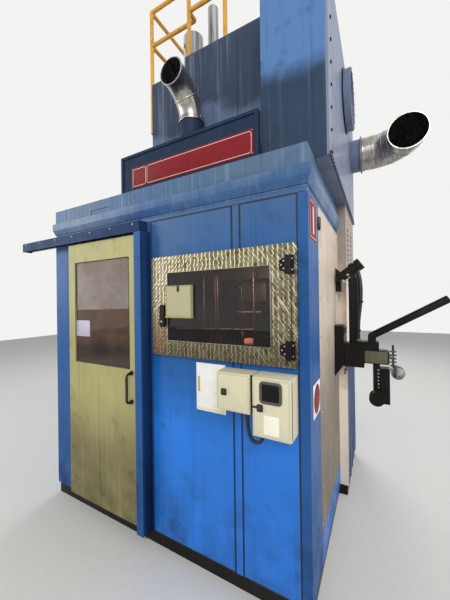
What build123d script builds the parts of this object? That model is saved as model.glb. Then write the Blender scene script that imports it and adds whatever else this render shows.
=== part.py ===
from build123d import *
import os

os.makedirs("parts", exist_ok=True)

# Forging press in its guard cabin, in millimetres.
# The origin is on the floor under the press axis, the operator's side faces -Y and +Z is up.

# Cabin footprint and levels
cabin_width = 2210
cabin_depth = 1130
front_reach = 1050
right_reach = 700
plinth_height = 90
plinth_setback = 12
plinth_wall = 60
panel_top = 2235
header_top = 2382
cornice_top = 2488
sheet = 3
panel_depth = 40
frame_tube = 40
seam = 3
recess_seam = 6
cut_over = 1

# Rear body and tower
rear_depth = 770
tower_left = 1473
tower_overhang = 80
rear_inset = 12
tower_top = 3650
block_setback = 187
block_width = 398
recess_setback = 370
recess_width = 716
left_setback = 455
tower_sheet = 6
top_plate = 10

# Doorway, sliding door and its rail
left_bay = 310
doorway_width = 670
doorway_top = 2120
door_lap_left = 39
door_lap_right = 48
door_bottom = 120
door_top = 2150
door_thickness = 38
door_gap = 17
door_glass_left = 88
door_glass_right = 53
door_lip = 8
door_glass_bottom = 1207
door_glass_top = 1999
glass_thickness = 6
rail_cover_reach = 710
rail_cover_overlap = 125
rail_cover_depth = 80
rail_cover_front_top = 2233
rail_cover_back_top = 2241
rail_cover_bottom = 2160
rail_cover_lip = 30
closing_post_overlap = 134
closing_post_width = 61
closing_flange = 18
door_edge_chamfer = 2

# Posts and panels of the front wall
corner_post_width = 53
corner_post_side = 266
centre_post_width = 160
mullion_left = 434
mullion_width = 42

# Viewing hatch
hatch_edge_left = 27
hatch_right = 52
hatch_bottom = 1327
hatch_top = 1975
hatch_proud = 30
hatch_corner = 25
hatch_margin_left = 138
hatch_margin_right = 144
hatch_glass_bottom = 1425
hatch_glass_top = 1867
hatch_lip = 20

# Cream side guard
guard_front = 272
guard_back = 1128
guard_bottom = 275

# Wall cabinets
cabinet_a_left = 490
cabinet_a_width = 212
cabinet_a_bottom = 1078
cabinet_a_height = 210
cabinet_a_depth = 110
cabinet_b_left = 265
cabinet_b_width = 202
cabinet_b_bottom = 986
cabinet_b_height = 304
cabinet_b_depth = 130
lock_inset = 30
lock_width = 28
lock_height = 32
lock_proud = 9
lock_corner = 5
cabinet_a_lock_up = 86
cabinet_b_lock_up = 142
display_inset = 50
display_up = 183
display_width = 115
display_height = 105
display_proud = 7
display_corner = 12
cable_a_inset = 160
cable_b_inset = 30
cable_drop = 71
cable_bend = 40
cable_radius = 9.5
cabinet_door = 16
cabinet_wall = 2.5
cabinet_seal_gap = 0.8

# Bands over the panels
header_inset = 6
fascia_bottom = 2276
fascia_fold = 2320
fascia_top = 2376
fascia_proud = 18
roof_thickness = 4
roof_cut_width = 1000
roof_cut_front = 560
cornice_plate_inset = 490
cornice_plate_width = 230
cornice_plate_height = 38
cornice_plate_depth = 4

# Louvres of the rear right wall
louvre_columns = 2
louvre_first = 170
louvre_spacing = 330
louvre_length = 60
louvre_slot = 12
louvre_pitch = 45
louvre_count = 12
louvre_centre = 2050

# Sign board, ducts and port
side_plate = 12
sign_reach = 60
sign_gap = 6
sign_depth = 40
sign_rim = 22
sign_recess = 8
sign_top = 2860
duct_wall = 3
duct_flange = 8
duct_flange_rim = 22
left_duct_offset = 910
left_duct_radius = 88
left_duct_clamp = 3010
clamp_height = 34
clamp_rim = 5
left_elbow_radius = 240
right_duct_setback = 1750
right_duct_z = 3160
right_duct_radius = 155
right_duct_spigot_length = 90
right_duct_run = 110
right_elbow_radius = 272
port_setback = 1090
port_z = 3330
port_radius = 225
port_rim = 22
port_proud = 60
port_recess = 48

# Pull handle and hangers of the sliding door
handle_bottom = 980
handle_height = 200
handle_inset = 32
handle_reach = 48
handle_radius = 9
handle_bend = 22
handle_foot = 12
handle_foot_radius = 15
rail_clear = 8
rail_leg = 21
rail_leg_height = 40
rail_bar = 4
hanger_width = 90
hanger_thickness = 5
hanger_inset = 60
roller_radius = 14
roller_width = 14
running_gap = 0.3

# Hatch fittings
hinge_width = 77
hinge_height = 96
hinge_proud = 34
hinge_tip = 46
hinge_leaf = 14
hinge_barrel_inset = 30
hinge_lower = 1372
hinge_upper = 1814
hinge_offset = 65
latch_inset = 90
latch_width = 38
latch_bottom = 1513
latch_height = 146
latch_proud = 26
hatch_face = 4
hatch_pane = 8
tray_sheet = 2
tray_width = 204
tray_bottom = 1574
tray_height = 207
tray_depth = 22

# Guard rails and cylinders on the tower
rail_radius = 17
rail_height = 690
rail_spacing = 310
corner_post_drop = 430
rail_edge = 25
small_cylinder_radius = 46
small_cylinder_offset = 962
small_cylinder_setback = 700
large_cylinder_radius = 98
large_cylinder_offset = 1285
large_cylinder_setback = 850
cylinder_height = 650

# Feeder on the right-hand side: bracket, beam and upright arm
feeder_y = 950
bracket_out = 68
bracket_width = 140
bracket_bottom = 1076
bracket_taper = 97
bracket_top = 1475
beam_bottom = 1160
beam_height = 180
beam_depth = 110
beam_wall = 8
beam_out = 206
block_out = 369
block_bottom = 1195
block_height = 100
block_depth = 96
block_edge = 6
arm_out = 103
arm_width = 58
arm_depth = 64
arm_top = 1845
arm_slot = 10
arm_slot_depth = 7
shelf_left = 150
shelf_right = 306
shelf_thickness = 18

# Feeder cylinder, which tilts on a pin at the wall and is held in a clamp on the arm
pivot_out = 30
pivot_z = 1844
pivot_pin_radius = 12
pivot_pin_end = 4
pivot_eye_radius = 24
pivot_eye_width = 40
lug_out = 42
lug_bottom = 1742
lug_back_top = 1936
lug_front_top = 1898
lug_width = 60
tilt_angle = 35.3
tilt_radius = 38
tilt_start = 20
tilt_length = 140
tilt_flange_radius = 46
tilt_flange_length = 38
clamp_along = 128
clamp_width = 34
clamp_wall = 9

# Feeder strut, drop post, roller and adjusters
strut_out = 260
strut_rise = 42
strut_angle = 30.5
strut_radius = 27
strut_length = 540
strut_eye_width = 44
strut_cheek = 12
post_out = 264
post_width = 47
post_depth = 60
post_bottom = 880
post_roller_radius = 50
post_roller_width = 90
post_roller_z = 955
side_box_width = 62
side_box_depth = 90
side_box_bottom = 905
side_box_height = 260
roller_pin_radius = 14
adjuster_out = 396
adjuster_rod_radius = 8
adjuster_disc_radius = 22
adjuster_disc_thickness = 9
adjuster_pitch = 26
adjuster_count = 5
adjuster_lug = 16
cup_radius = 46
cup_length = 84
cup_wall = 6
cup_drop = 66
cup_offset = 27
cup_raise = 28
cup_front = 50

# Press inside the cabin
bed_width = 900
bed_depth = 900
bed_height = 1060
bolster_thickness = 90
slot_neck = 22
slot_neck_depth = 20
slot_foot = 36
slot_foot_depth = 14
slot_spacing = 260
slot_count = 3
column_radius = 60
column_spacing_x = 640
column_spacing_y = 560
head_bottom = 2560
head_height = 420
head_width = 940
head_depth = 860
bolster_inset = 30
carrier_out = 345
carrier_width = 80
ram_width = 820
ram_depth = 740
ram_rod_radius = 110
rod_engagement = 40
bore_clearance = 0.3
ram_bottom = 1860
ram_height = 260
ram_travel = 300
die_width = 240
lower_die_height = 210
upper_die_height = 190
guide_clearance = 6

# Derived places
x_right = right_reach
x_left = right_reach - cabin_width
y_front = -front_reach
y_cabin_back = y_front + cabin_depth
y_back = y_cabin_back + rear_depth
x_tower_right = x_right + tower_overhang
x_tower_left = x_right - tower_left
x_rear_right = x_tower_right - rear_inset
y_block = y_front + block_setback
y_recess = y_front + recess_setback
y_left_part = y_front + left_setback
x_block_left = x_tower_right - block_width
x_recess_left = x_block_left - recess_width
doorway_left = cabin_width - left_bay
doorway_right = doorway_left - doorway_width
panel_a_left = doorway_right - centre_post_width
hatch_left = panel_a_left - hatch_edge_left
hatch_glass_left = hatch_left - hatch_margin_left
hatch_glass_right = hatch_right + hatch_margin_right
rail_cover_left = doorway_left + rail_cover_reach
rail_cover_right = doorway_right - rail_cover_overlap


def from_right(distance):
    """X of a point that lies this far left of the cabin's right-hand wall."""
    return x_right - distance


def around(middle, width):
    """Span of this width about a middle value."""
    return (middle - width / 2, middle + width / 2)


def slab(x_span, y_span, z_span, mode=Mode.ADD):
    """Flat plate or straight bar between two X, two Y and two Z values."""
    with BuildSketch(Plane.XY.offset(z_span[0])) as outline:
        with Locations(((x_span[0] + x_span[1]) / 2, (y_span[0] + y_span[1]) / 2)):
            Rectangle(x_span[1] - x_span[0], y_span[1] - y_span[0])
    extrude(outline.sketch, amount=z_span[1] - z_span[0], mode=mode)


def tray_panel(x_span, z_span, y_face, holes=()):
    """Front panel: a sheet skin with folded edges, open at the back, with rectangular holes."""
    slab(x_span, (y_face, y_face + panel_depth), z_span)
    inner_x = (x_span[0] + sheet, x_span[1] - sheet)
    inner_z = (z_span[0] + sheet, z_span[1] - sheet)
    slab(inner_x, (y_face + sheet, y_face + panel_depth), inner_z, mode=Mode.SUBTRACT)
    for hole_x, hole_z in holes:
        slab(hole_x, (y_face - cut_over, y_face + panel_depth + cut_over), hole_z, mode=Mode.SUBTRACT)


def folded_post(points, z_span):
    """Post of bent sheet: an open chain of folds in plan, given a sheet's thickness inwards."""
    with BuildSketch(Plane.XY.offset(z_span[0])) as section:
        with BuildLine() as folds:
            Polyline(*points)
            offset(amount=sheet, side=Side.LEFT)
        make_face()
    extrude(section.sketch, amount=z_span[1] - z_span[0])


def finish(part, name):
    """Labels one sub-part and writes its file."""
    part.part.label = name
    export_step(part.part, f"parts/{name}.step")


# Plinth: a closed channel ring under the cabin and the rear body
with BuildPart() as base_plinth:
    with BuildSketch() as footprint:
        with Locations(((x_left + x_right) / 2, (y_front + y_cabin_back) / 2)):
            Rectangle(cabin_width, cabin_depth)
        with Locations(((x_tower_left + x_rear_right) / 2, (y_cabin_back + y_back) / 2)):
            Rectangle(x_rear_right - x_tower_left, rear_depth)
        offset(amount=-plinth_setback, mode=Mode.REPLACE)
        offset(amount=-plinth_wall, mode=Mode.SUBTRACT)
    extrude(amount=plinth_height)
finish(base_plinth, "base_plinth")

# Tube frame behind the front panels
y_frame = y_front + panel_depth
frame_right = x_right - sheet
frame_lines_x = (x_left, from_right(doorway_left) - frame_tube, from_right(doorway_right),
                 frame_right - frame_tube)
with BuildPart() as front_frame:
    frame_y = (y_frame, y_frame + frame_tube)
    for x_line in frame_lines_x:
        slab((x_line, x_line + frame_tube), frame_y, (plinth_height, panel_top))
    slab((x_left, frame_right), frame_y, (panel_top - frame_tube, panel_top))
    slab((from_right(doorway_left), from_right(doorway_right)), frame_y,
         (doorway_top, doorway_top + frame_tube))
    frame_mid_x = (from_right(doorway_right), frame_right)
    for z_line in (plinth_height, hatch_glass_bottom - hatch_lip - frame_tube, hatch_glass_top + hatch_lip):
        slab(frame_mid_x, frame_y, (z_line, z_line + frame_tube))
    for z_span in ((plinth_height, hatch_glass_bottom - hatch_lip), (hatch_glass_top + hatch_lip, panel_top)):
        slab((from_right(mullion_left), from_right(mullion_left - mullion_width)), frame_y, z_span)
    slab((x_left, from_right(doorway_left)), frame_y, (plinth_height, plinth_height + frame_tube))
finish(front_frame, "front_frame")

# Left post: a wide folded channel up to the doorway
with BuildPart() as front_left_post:
    post_right = from_right(doorway_left)
    folded_post([(x_left, y_front + panel_depth), (x_left, y_front), (post_right, y_front),
                 (post_right, y_front + panel_depth)], (plinth_height, panel_top))
finish(front_left_post, "front_left_post")

# Header over the doorway
with BuildPart() as door_header:
    tray_panel((from_right(doorway_left), from_right(doorway_right)), (doorway_top, panel_top), y_front)
finish(door_header, "door_header")

# Centre post between the doorway and panel A
with BuildPart() as centre_post:
    post_left = from_right(doorway_right)
    folded_post([(post_left, y_front + panel_depth), (post_left, y_front),
                 (from_right(panel_a_left) - seam, y_front),
                 (from_right(panel_a_left) - seam, y_front + panel_depth)], (plinth_height, panel_top))
finish(centre_post, "centre_post")

# Front panels A and B share the window opening, with the mullion between them
window_hole = ((from_right(hatch_glass_left) - hatch_lip, from_right(hatch_glass_right) + hatch_lip),
               (hatch_glass_bottom - hatch_lip, hatch_glass_top + hatch_lip))
with BuildPart() as front_panel_a:
    tray_panel((from_right(panel_a_left), from_right(mullion_left) - recess_seam),
               (plinth_height + seam, panel_top), y_front, [window_hole])
finish(front_panel_a, "front_panel_a")

with BuildPart() as front_panel_b:
    tray_panel((from_right(mullion_left - mullion_width) + recess_seam, x_right - corner_post_width - seam),
               (plinth_height + seam, panel_top), y_front, [window_hole])
finish(front_panel_b, "front_panel_b")

with BuildPart() as front_mullion:
    for z_span in ((plinth_height + seam, window_hole[1][0]), (window_hole[1][1], panel_top)):
        folded_post([(from_right(mullion_left), y_front + panel_depth), (from_right(mullion_left), y_front),
                     (from_right(mullion_left - mullion_width), y_front),
                     (from_right(mullion_left - mullion_width), y_front + panel_depth)], z_span)
finish(front_mullion, "front_mullion")

# Corner post: bent round the right-hand front corner, with a wide face on the side
with BuildPart() as corner_post:
    folded_post([(x_right - corner_post_width, y_front + panel_depth), (x_right - corner_post_width, y_front),
                 (x_right, y_front), (x_right, y_front + corner_post_side),
                 (x_right - panel_depth, y_front + corner_post_side)], (plinth_height, panel_top))
finish(corner_post, "corner_post")

# Header strip over the panels, set back a little so that it reads as a dark seam
def band_points(inset):
    """Open chain round the cabin's left side, front and right side, set in from its faces."""
    return [(x_left + inset, y_cabin_back), (x_left + inset, y_front + inset),
            (x_right - inset, y_front + inset), (x_right - inset, y_cabin_back)]


def wall_band(inset, thickness, z_span):
    """Band of one thickness that runs round three sides of the cabin."""
    with BuildSketch(Plane.XY.offset(z_span[0])) as section:
        with BuildLine() as chain:
            Polyline(*band_points(inset))
            offset(amount=thickness, side=Side.LEFT)
        make_face()
    extrude(section.sketch, amount=z_span[1] - z_span[0])


with BuildPart() as header_band:
    wall_band(header_inset, panel_depth - header_inset, (panel_top, header_top))
finish(header_band, "header_band")

# Fascia: a bent sheet band with a sloping lower face, mitred at both front corners
with BuildPart() as fascia:
    with BuildLine() as fascia_run:
        Polyline(*band_points(0))
    with BuildSketch(Plane(origin=(x_left, y_cabin_back, 0), x_dir=(-1, 0, 0), z_dir=(0, 1, 0))):
        with BuildLine():
            Polyline((-header_inset, fascia_bottom), (0, fascia_bottom), (fascia_proud, fascia_fold),
                     (fascia_proud, fascia_top), (-header_inset, fascia_top))
            offset(amount=sheet, side=Side.LEFT)
        make_face()
    sweep(path=fascia_run.wires()[0], transition=Transition.RIGHT)
finish(fascia, "fascia_band")

# Cornice: the upper box band, flush with the walls, with a small recessed plate near its left end
with BuildPart() as cornice:
    wall_band(0, panel_depth, (header_top, cornice_top))
    plate_x = x_left + cornice_plate_inset
    slab((plate_x, plate_x + cornice_plate_width), (y_front, y_front + cornice_plate_depth),
         (header_top, header_top + cornice_plate_height), mode=Mode.SUBTRACT)
finish(cornice, "cornice")

# Roof sheet inside the cornice, cut away where the press passes up into the tower and under the left duct
left_duct_x = from_right(left_duct_offset)
left_duct_y = y_recess - left_duct_radius - clamp_rim - running_gap
with BuildPart() as roof_sheet:
    slab((x_left + panel_depth, x_right - panel_depth), (y_front + panel_depth, y_cabin_back),
         (cornice_top - roof_thickness, cornice_top))
    slab(around(0, roof_cut_width), (-roof_cut_front, y_cabin_back + cut_over),
         (cornice_top - roof_thickness - cut_over, cornice_top + cut_over), mode=Mode.SUBTRACT)
    with BuildSketch(Plane.XY.offset(cornice_top)) as duct_hole:
        with Locations((left_duct_x, left_duct_y)):
            Circle(left_duct_radius - duct_wall)
    extrude(duct_hole.sketch, amount=-roof_thickness, mode=Mode.SUBTRACT)
finish(roof_sheet, "roof_sheet")


# Side and back walls
def side_wall(x_face, inward, y_span, z_span):
    """Side panel: a skin on one X plane with folded edges that point inwards."""
    x_span = sorted((x_face, x_face + inward * panel_depth))
    slab(x_span, y_span, z_span)
    pocket_x = sorted((x_face + inward * sheet, x_face + inward * (panel_depth + cut_over)))
    slab(pocket_x, (y_span[0] + sheet, y_span[1] - sheet), (z_span[0] + sheet, z_span[1] - sheet),
         mode=Mode.SUBTRACT)


def back_wall(y_face, x_span, z_span):
    """Back panel: a skin on one Y plane with folded edges that point inwards."""
    slab(x_span, (y_face - panel_depth, y_face), z_span)
    slab((x_span[0] + sheet, x_span[1] - sheet), (y_face - panel_depth - cut_over, y_face - sheet),
         (z_span[0] + sheet, z_span[1] - sheet), mode=Mode.SUBTRACT)


y_side_start = y_frame + frame_tube
y_side_mid = (y_side_start + y_cabin_back) / 2
with BuildPart() as left_wall:
    side_wall(x_left, 1, (y_side_start, y_side_mid - recess_seam / 2), (plinth_height, panel_top))
    side_wall(x_left, 1, (y_side_mid + recess_seam / 2, y_cabin_back), (plinth_height, panel_top))
finish(left_wall, "left_wall")

with BuildPart() as cabin_back_wall:
    back_wall(y_cabin_back, (x_left + panel_depth, x_tower_left),
              (plinth_height, cornice_top - roof_thickness))
finish(cabin_back_wall, "cabin_back_wall")

with BuildPart() as side_guard:
    guard_y = (y_front + guard_front, y_front + guard_back)
    side_wall(x_right, -1, guard_y, (guard_bottom, panel_top))
finish(side_guard, "side_guard")

with BuildPart() as side_sill:
    side_wall(x_right, -1, guard_y, (plinth_height, guard_bottom - recess_seam))
finish(side_sill, "side_sill")

with BuildPart() as rear_right_wall:
    side_wall(x_rear_right, -1, (y_cabin_back, y_back - panel_depth), (plinth_height, cornice_top))
    slab((x_right - panel_depth, x_rear_right), (y_cabin_back, y_cabin_back + sheet),
         (plinth_height, cornice_top))
    for column in range(louvre_columns):
        y_slot = y_cabin_back + louvre_first + column * louvre_spacing
        with BuildSketch(Plane.YZ.offset(x_rear_right - panel_depth)) as slots:
            with Locations((y_slot, louvre_centre)):
                with GridLocations(louvre_length * 2, louvre_pitch, 1, louvre_count):
                    Rectangle(louvre_length, louvre_slot)
        extrude(slots.sketch, amount=panel_depth + cut_over, mode=Mode.SUBTRACT)
finish(rear_right_wall, "rear_right_wall")

# Rear housing: left side and back of the rear body, with stiffening folds inside
with BuildPart() as rear_housing:
    side_wall(x_tower_left, 1, (y_cabin_back, y_back - panel_depth), (plinth_height, cornice_top))
    back_wall(y_back, (x_tower_left, x_rear_right), (plinth_height, cornice_top))
finish(rear_housing, "rear_housing")

# Tower walls: bent sheets that step back from the front block to the left part
tower_span = (cornice_top, tower_top - top_plate)


def tower_wall(points):
    """Tower wall: an open chain of folds in plan, as high as the tower."""
    with BuildSketch(Plane.XY.offset(tower_span[0])) as section:
        with BuildLine() as folds:
            Polyline(*points)
            offset(amount=tower_sheet, side=Side.LEFT)
        make_face()
    extrude(section.sketch, amount=tower_span[1] - tower_span[0])


x_plate = x_tower_right - side_plate
with BuildPart() as tower_front_block:
    tower_wall([(x_block_left, y_recess + tower_sheet), (x_block_left, y_block), (x_plate, y_block)])
finish(tower_front_block, "tower_front_block")

with BuildPart() as tower_main_wall:
    tower_wall([(x_plate, y_back), (x_tower_left, y_back), (x_tower_left, y_left_part),
                (x_recess_left, y_left_part), (x_recess_left, y_recess), (x_block_left, y_recess)])
finish(tower_main_wall, "tower_main_wall")

with BuildPart() as tower_side_plate:
    slab((x_plate, x_tower_right), (y_block, y_back), tower_span)
    slab((x_right - side_plate, x_tower_right), (y_block + tower_sheet, y_cabin_back),
         (cornice_top, cornice_top + side_plate))
    slab((x_rear_right - panel_depth, x_tower_right), (y_cabin_back, y_back - tower_sheet),
         (cornice_top, cornice_top + side_plate))
finish(tower_side_plate, "tower_side_plate")

with BuildPart() as tower_top_sheet:
    with BuildSketch(Plane.XY.offset(tower_top - top_plate)) as tower_outline:
        with BuildLine():
            Polyline((x_tower_left, y_left_part), (x_recess_left, y_left_part), (x_recess_left, y_recess),
                     (x_block_left, y_recess), (x_block_left, y_block), (x_tower_right, y_block),
                     (x_tower_right, y_back), (x_tower_left, y_back), close=True)
        make_face()
    extrude(amount=top_plate)
finish(tower_top_sheet, "tower_top_sheet")

# Sign board: a box panel with a raised rim, standing on the cornice against the tower's front block
with BuildPart() as sign_board:
    sign_x = (x_tower_left - sign_reach, x_block_left - sign_gap)
    y_sign = y_block - sign_depth
    slab(sign_x, (y_sign, y_block), (cornice_top, sign_top))
    slab((sign_x[0] + sign_rim, sign_x[1] - sign_rim), (y_sign, y_sign + sign_recess),
         (cornice_top + sign_rim, sign_top - sign_rim), mode=Mode.SUBTRACT)
finish(sign_board, "sign_board")


# Extraction ducts
def tube_section(radius, wall):
    """Ring section of a round duct."""
    Circle(radius)
    Circle(radius - wall, mode=Mode.SUBTRACT)


with BuildPart() as left_duct_spigot:
    with BuildSketch(Plane.XY.offset(cornice_top)):
        with Locations((left_duct_x, left_duct_y)):
            tube_section(left_duct_radius, duct_wall)
    extrude(amount=left_duct_clamp - cornice_top)
finish(left_duct_spigot, "left_duct_spigot")

with BuildPart() as left_duct_elbow:
    with BuildSketch(Plane.XY.offset(left_duct_clamp)):
        with Locations((left_duct_x, left_duct_y)):
            tube_section(left_duct_radius, duct_wall)
    bend_axis = Axis((left_duct_x, left_duct_y - left_elbow_radius, left_duct_clamp), (1, 0, 0))
    revolve(axis=bend_axis, revolution_arc=90)
    with BuildSketch(Plane.XY.offset(left_duct_clamp)):
        with Locations((left_duct_x, left_duct_y)):
            tube_section(left_duct_radius + clamp_rim, clamp_rim + duct_wall)
    extrude(amount=clamp_height)
finish(left_duct_elbow, "left_duct_elbow")

right_duct_y = y_front + right_duct_setback
right_duct_start = x_tower_right + right_duct_spigot_length
with BuildPart() as right_duct_spigot:
    with BuildSketch(Plane.YZ.offset(x_tower_right)):
        with Locations((right_duct_y, right_duct_z)):
            tube_section(right_duct_radius, duct_wall)
    extrude(amount=right_duct_spigot_length)
    with BuildSketch(Plane.YZ.offset(right_duct_start - duct_flange)):
        with Locations((right_duct_y, right_duct_z)):
            tube_section(right_duct_radius + duct_flange_rim, duct_flange_rim + duct_wall)
    extrude(amount=duct_flange)
finish(right_duct_spigot, "right_duct_spigot")

with BuildPart() as right_duct_elbow:
    with BuildSketch(Plane.YZ.offset(right_duct_start)):
        with Locations((right_duct_y, right_duct_z)):
            tube_section(right_duct_radius, duct_wall)
    extrude(amount=right_duct_run)
    with BuildSketch(Plane.YZ.offset(right_duct_start + right_duct_run)) as elbow_start:
        with Locations((right_duct_y, right_duct_z)):
            tube_section(right_duct_radius, duct_wall)
    turn_centre = (right_duct_start + right_duct_run, right_duct_y - right_elbow_radius, right_duct_z)
    turn_axis = Axis(turn_centre, (0, 0, -1))
    revolve(elbow_start.sketch, axis=turn_axis, revolution_arc=90)
finish(right_duct_elbow, "right_duct_elbow")

# Round inspection port on the tower's side: a deep ring with a cover set back inside it
with BuildPart() as port_ring:
    with BuildSketch(Plane.YZ.offset(x_tower_right)):
        with Locations((y_front + port_setback, port_z)):
            Circle(port_radius)
    extrude(amount=port_proud)
    with BuildSketch(Plane.YZ.offset(x_tower_right + port_proud)):
        with Locations((y_front + port_setback, port_z)):
            Circle(port_radius - port_rim)
    extrude(amount=-port_recess, mode=Mode.SUBTRACT)
finish(port_ring, "port_ring")

# Rail cover: a bent hood over the sliding door, open at the bottom
y_cover_front = y_front - rail_cover_depth
with BuildPart() as rail_cover:
    with BuildSketch(Plane.YZ.offset(from_right(rail_cover_left))) as hood:
        with BuildLine():
            Polyline((y_front, rail_cover_back_top - rail_cover_lip), (y_front, rail_cover_back_top),
                     (y_cover_front, rail_cover_front_top), (y_cover_front, rail_cover_bottom))
            offset(amount=sheet, side=Side.LEFT)
        make_face()
    extrude(amount=rail_cover_left - rail_cover_right)
    for x_end in (from_right(rail_cover_left), from_right(rail_cover_right) - sheet):
        with BuildSketch(Plane.YZ.offset(x_end)):
            with BuildLine():
                Polyline((y_front, rail_cover_bottom), (y_front, rail_cover_back_top),
                         (y_cover_front, rail_cover_front_top), (y_cover_front, rail_cover_bottom),
                         close=True)
            make_face()
        extrude(amount=sheet)
finish(rail_cover, "rail_cover")

# Closing post: a channel on the wall that the door meets, with a flange beside panel A
with BuildPart() as closing_post:
    post_edge = from_right(doorway_right - closing_post_overlap)
    post_x = (post_edge - closing_post_width, post_edge)
    with BuildSketch(Plane.XY.offset(plinth_height)) as section:
        with BuildLine():
            Polyline((post_x[0], y_front), (post_x[0], y_cover_front), (post_x[1], y_cover_front),
                     (post_x[1], y_front - sheet), (post_x[1] + closing_flange, y_front - sheet))
            offset(amount=sheet, side=Side.LEFT)
        make_face()
    extrude(section.sketch, amount=rail_cover_bottom - plinth_height)
finish(closing_post, "closing_post")

# Door rail: an angle bar on the wall under the hood, whose level leg carries the rollers
y_rail = y_front - rail_leg
rail_level = rail_cover_bottom + rail_clear
with BuildPart() as door_rail:
    with BuildSketch(Plane.YZ.offset(from_right(rail_cover_left) + sheet)) as section:
        with BuildLine():
            rail_leg_top = rail_level + rail_leg_height
            Polyline((y_front, rail_leg_top), (y_front - rail_bar, rail_leg_top),
                     (y_front - rail_bar, rail_level + rail_bar), (y_rail, rail_level + rail_bar),
                     (y_rail, rail_level), (y_front, rail_level), close=True)
        make_face()
    extrude(section.sketch, amount=rail_cover_left - rail_cover_right - 2 * sheet)
finish(door_rail, "door_rail")

# Sliding door: a flat leaf of square tube and sheet with one tall window
door_x = (from_right(doorway_left + door_lap_left), from_right(doorway_right - door_lap_right))
door_y = (y_front - door_gap - door_thickness, y_front - door_gap)
door_glass_x = (door_x[0] + door_glass_left, door_x[1] - door_glass_right)
door_glass_z = (door_glass_bottom, door_glass_top)
with BuildPart() as front_door:
    slab(door_x, door_y, (door_bottom, door_top))
    slab(door_glass_x, (door_y[0] - cut_over, door_y[1] + cut_over), door_glass_z, mode=Mode.SUBTRACT)
    rebate_x = (door_glass_x[0] - door_lip, door_glass_x[1] + door_lip)
    rebate_z = (door_glass_z[0] - door_lip, door_glass_z[1] + door_lip)
    slab(rebate_x, (door_y[0] + door_lip, door_y[1] + cut_over), rebate_z, mode=Mode.SUBTRACT)
    chamfer(front_door.edges().filter_by(Axis.Z).group_by(Axis.Y)[0].sort_by(Axis.X)[0], door_edge_chamfer)
finish(front_door, "front_door")

with BuildPart() as door_glass:
    slab(rebate_x, (door_y[0] + door_lip, door_y[0] + door_lip + glass_thickness), rebate_z)
finish(door_glass, "door_glass")

# Pull handle: a round bar bent into a bow, with a foot at each end
handle_x = door_x[1] - handle_inset
with BuildPart() as door_handle:
    handle_top = handle_bottom + handle_height
    y_grip = door_y[0] - handle_reach
    with BuildLine() as bow:
        FilletPolyline((handle_x, door_y[0], handle_bottom), (handle_x, y_grip, handle_bottom),
                       (handle_x, y_grip, handle_top), (handle_x, door_y[0], handle_top), radius=handle_bend)
    with BuildSketch(Plane(origin=(handle_x, door_y[0], handle_bottom), z_dir=(0, -1, 0))):
        Circle(handle_radius)
    sweep(path=bow.wires()[0])
    with BuildSketch(Plane.XZ.offset(-door_y[0])) as feet:
        with Locations((handle_x, handle_bottom), (handle_x, handle_top)):
            Circle(handle_foot_radius)
    extrude(feet.sketch, amount=handle_foot)
finish(door_handle, "door_handle")

# Hangers: plates bolted to the leaf's top, each with two grooved rollers on the rail
hanger_y = (y_rail - hanger_thickness - running_gap, y_rail - running_gap)
with BuildPart() as door_hangers:
    for x_hanger in (door_x[0] + hanger_inset, door_x[1] - hanger_inset - hanger_width):
        hanger_top = rail_level + rail_bar + 2 * roller_radius
        slab((x_hanger, x_hanger + hanger_width), hanger_y, (door_top, hanger_top))
        for x_roller in (x_hanger + hanger_width / 4, x_hanger + hanger_width * 3 / 4):
            with BuildSketch(Plane.XZ.offset(-hanger_y[1])) as roller:
                with Locations((x_roller, rail_level + rail_bar + running_gap + roller_radius)):
                    Circle(roller_radius)
            extrude(roller.sketch, amount=-roller_width)
finish(door_hangers, "door_hangers")


# Viewing hatch: a rounded steel plate frame that stands proud of the panels
def rounded_plate(x_span, z_span, y_face, thickness, corner, mode=Mode.ADD):
    """Plate on the front with rounded corners; its outer face is at y_face."""
    with BuildSketch(Plane.XZ.offset(-y_face)) as outline:
        with Locations(((x_span[0] + x_span[1]) / 2, (z_span[0] + z_span[1]) / 2)):
            RectangleRounded(x_span[1] - x_span[0], z_span[1] - z_span[0], corner)
    extrude(outline.sketch, amount=-thickness, mode=mode)


hatch_x = (from_right(hatch_left), from_right(hatch_right))
hatch_glass_x = (from_right(hatch_glass_left), from_right(hatch_glass_right))
hatch_glass_z = (hatch_glass_bottom, hatch_glass_top)
y_hatch = y_front - hatch_proud
with BuildPart() as hatch_frame:
    rounded_plate(hatch_x, (hatch_bottom, hatch_top), y_hatch, hatch_proud, hatch_corner)
    slab(hatch_glass_x, (y_hatch - cut_over, y_front + cut_over), hatch_glass_z, mode=Mode.SUBTRACT)
    slab(window_hole[0], (y_hatch + hatch_face, y_front + cut_over), window_hole[1], mode=Mode.SUBTRACT)
finish(hatch_frame, "hatch_frame")

with BuildPart() as hatch_glass:
    slab(window_hole[0], (y_hatch + hatch_face, y_hatch + hatch_face + hatch_pane), window_hole[1])
finish(hatch_glass, "hatch_glass")

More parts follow.
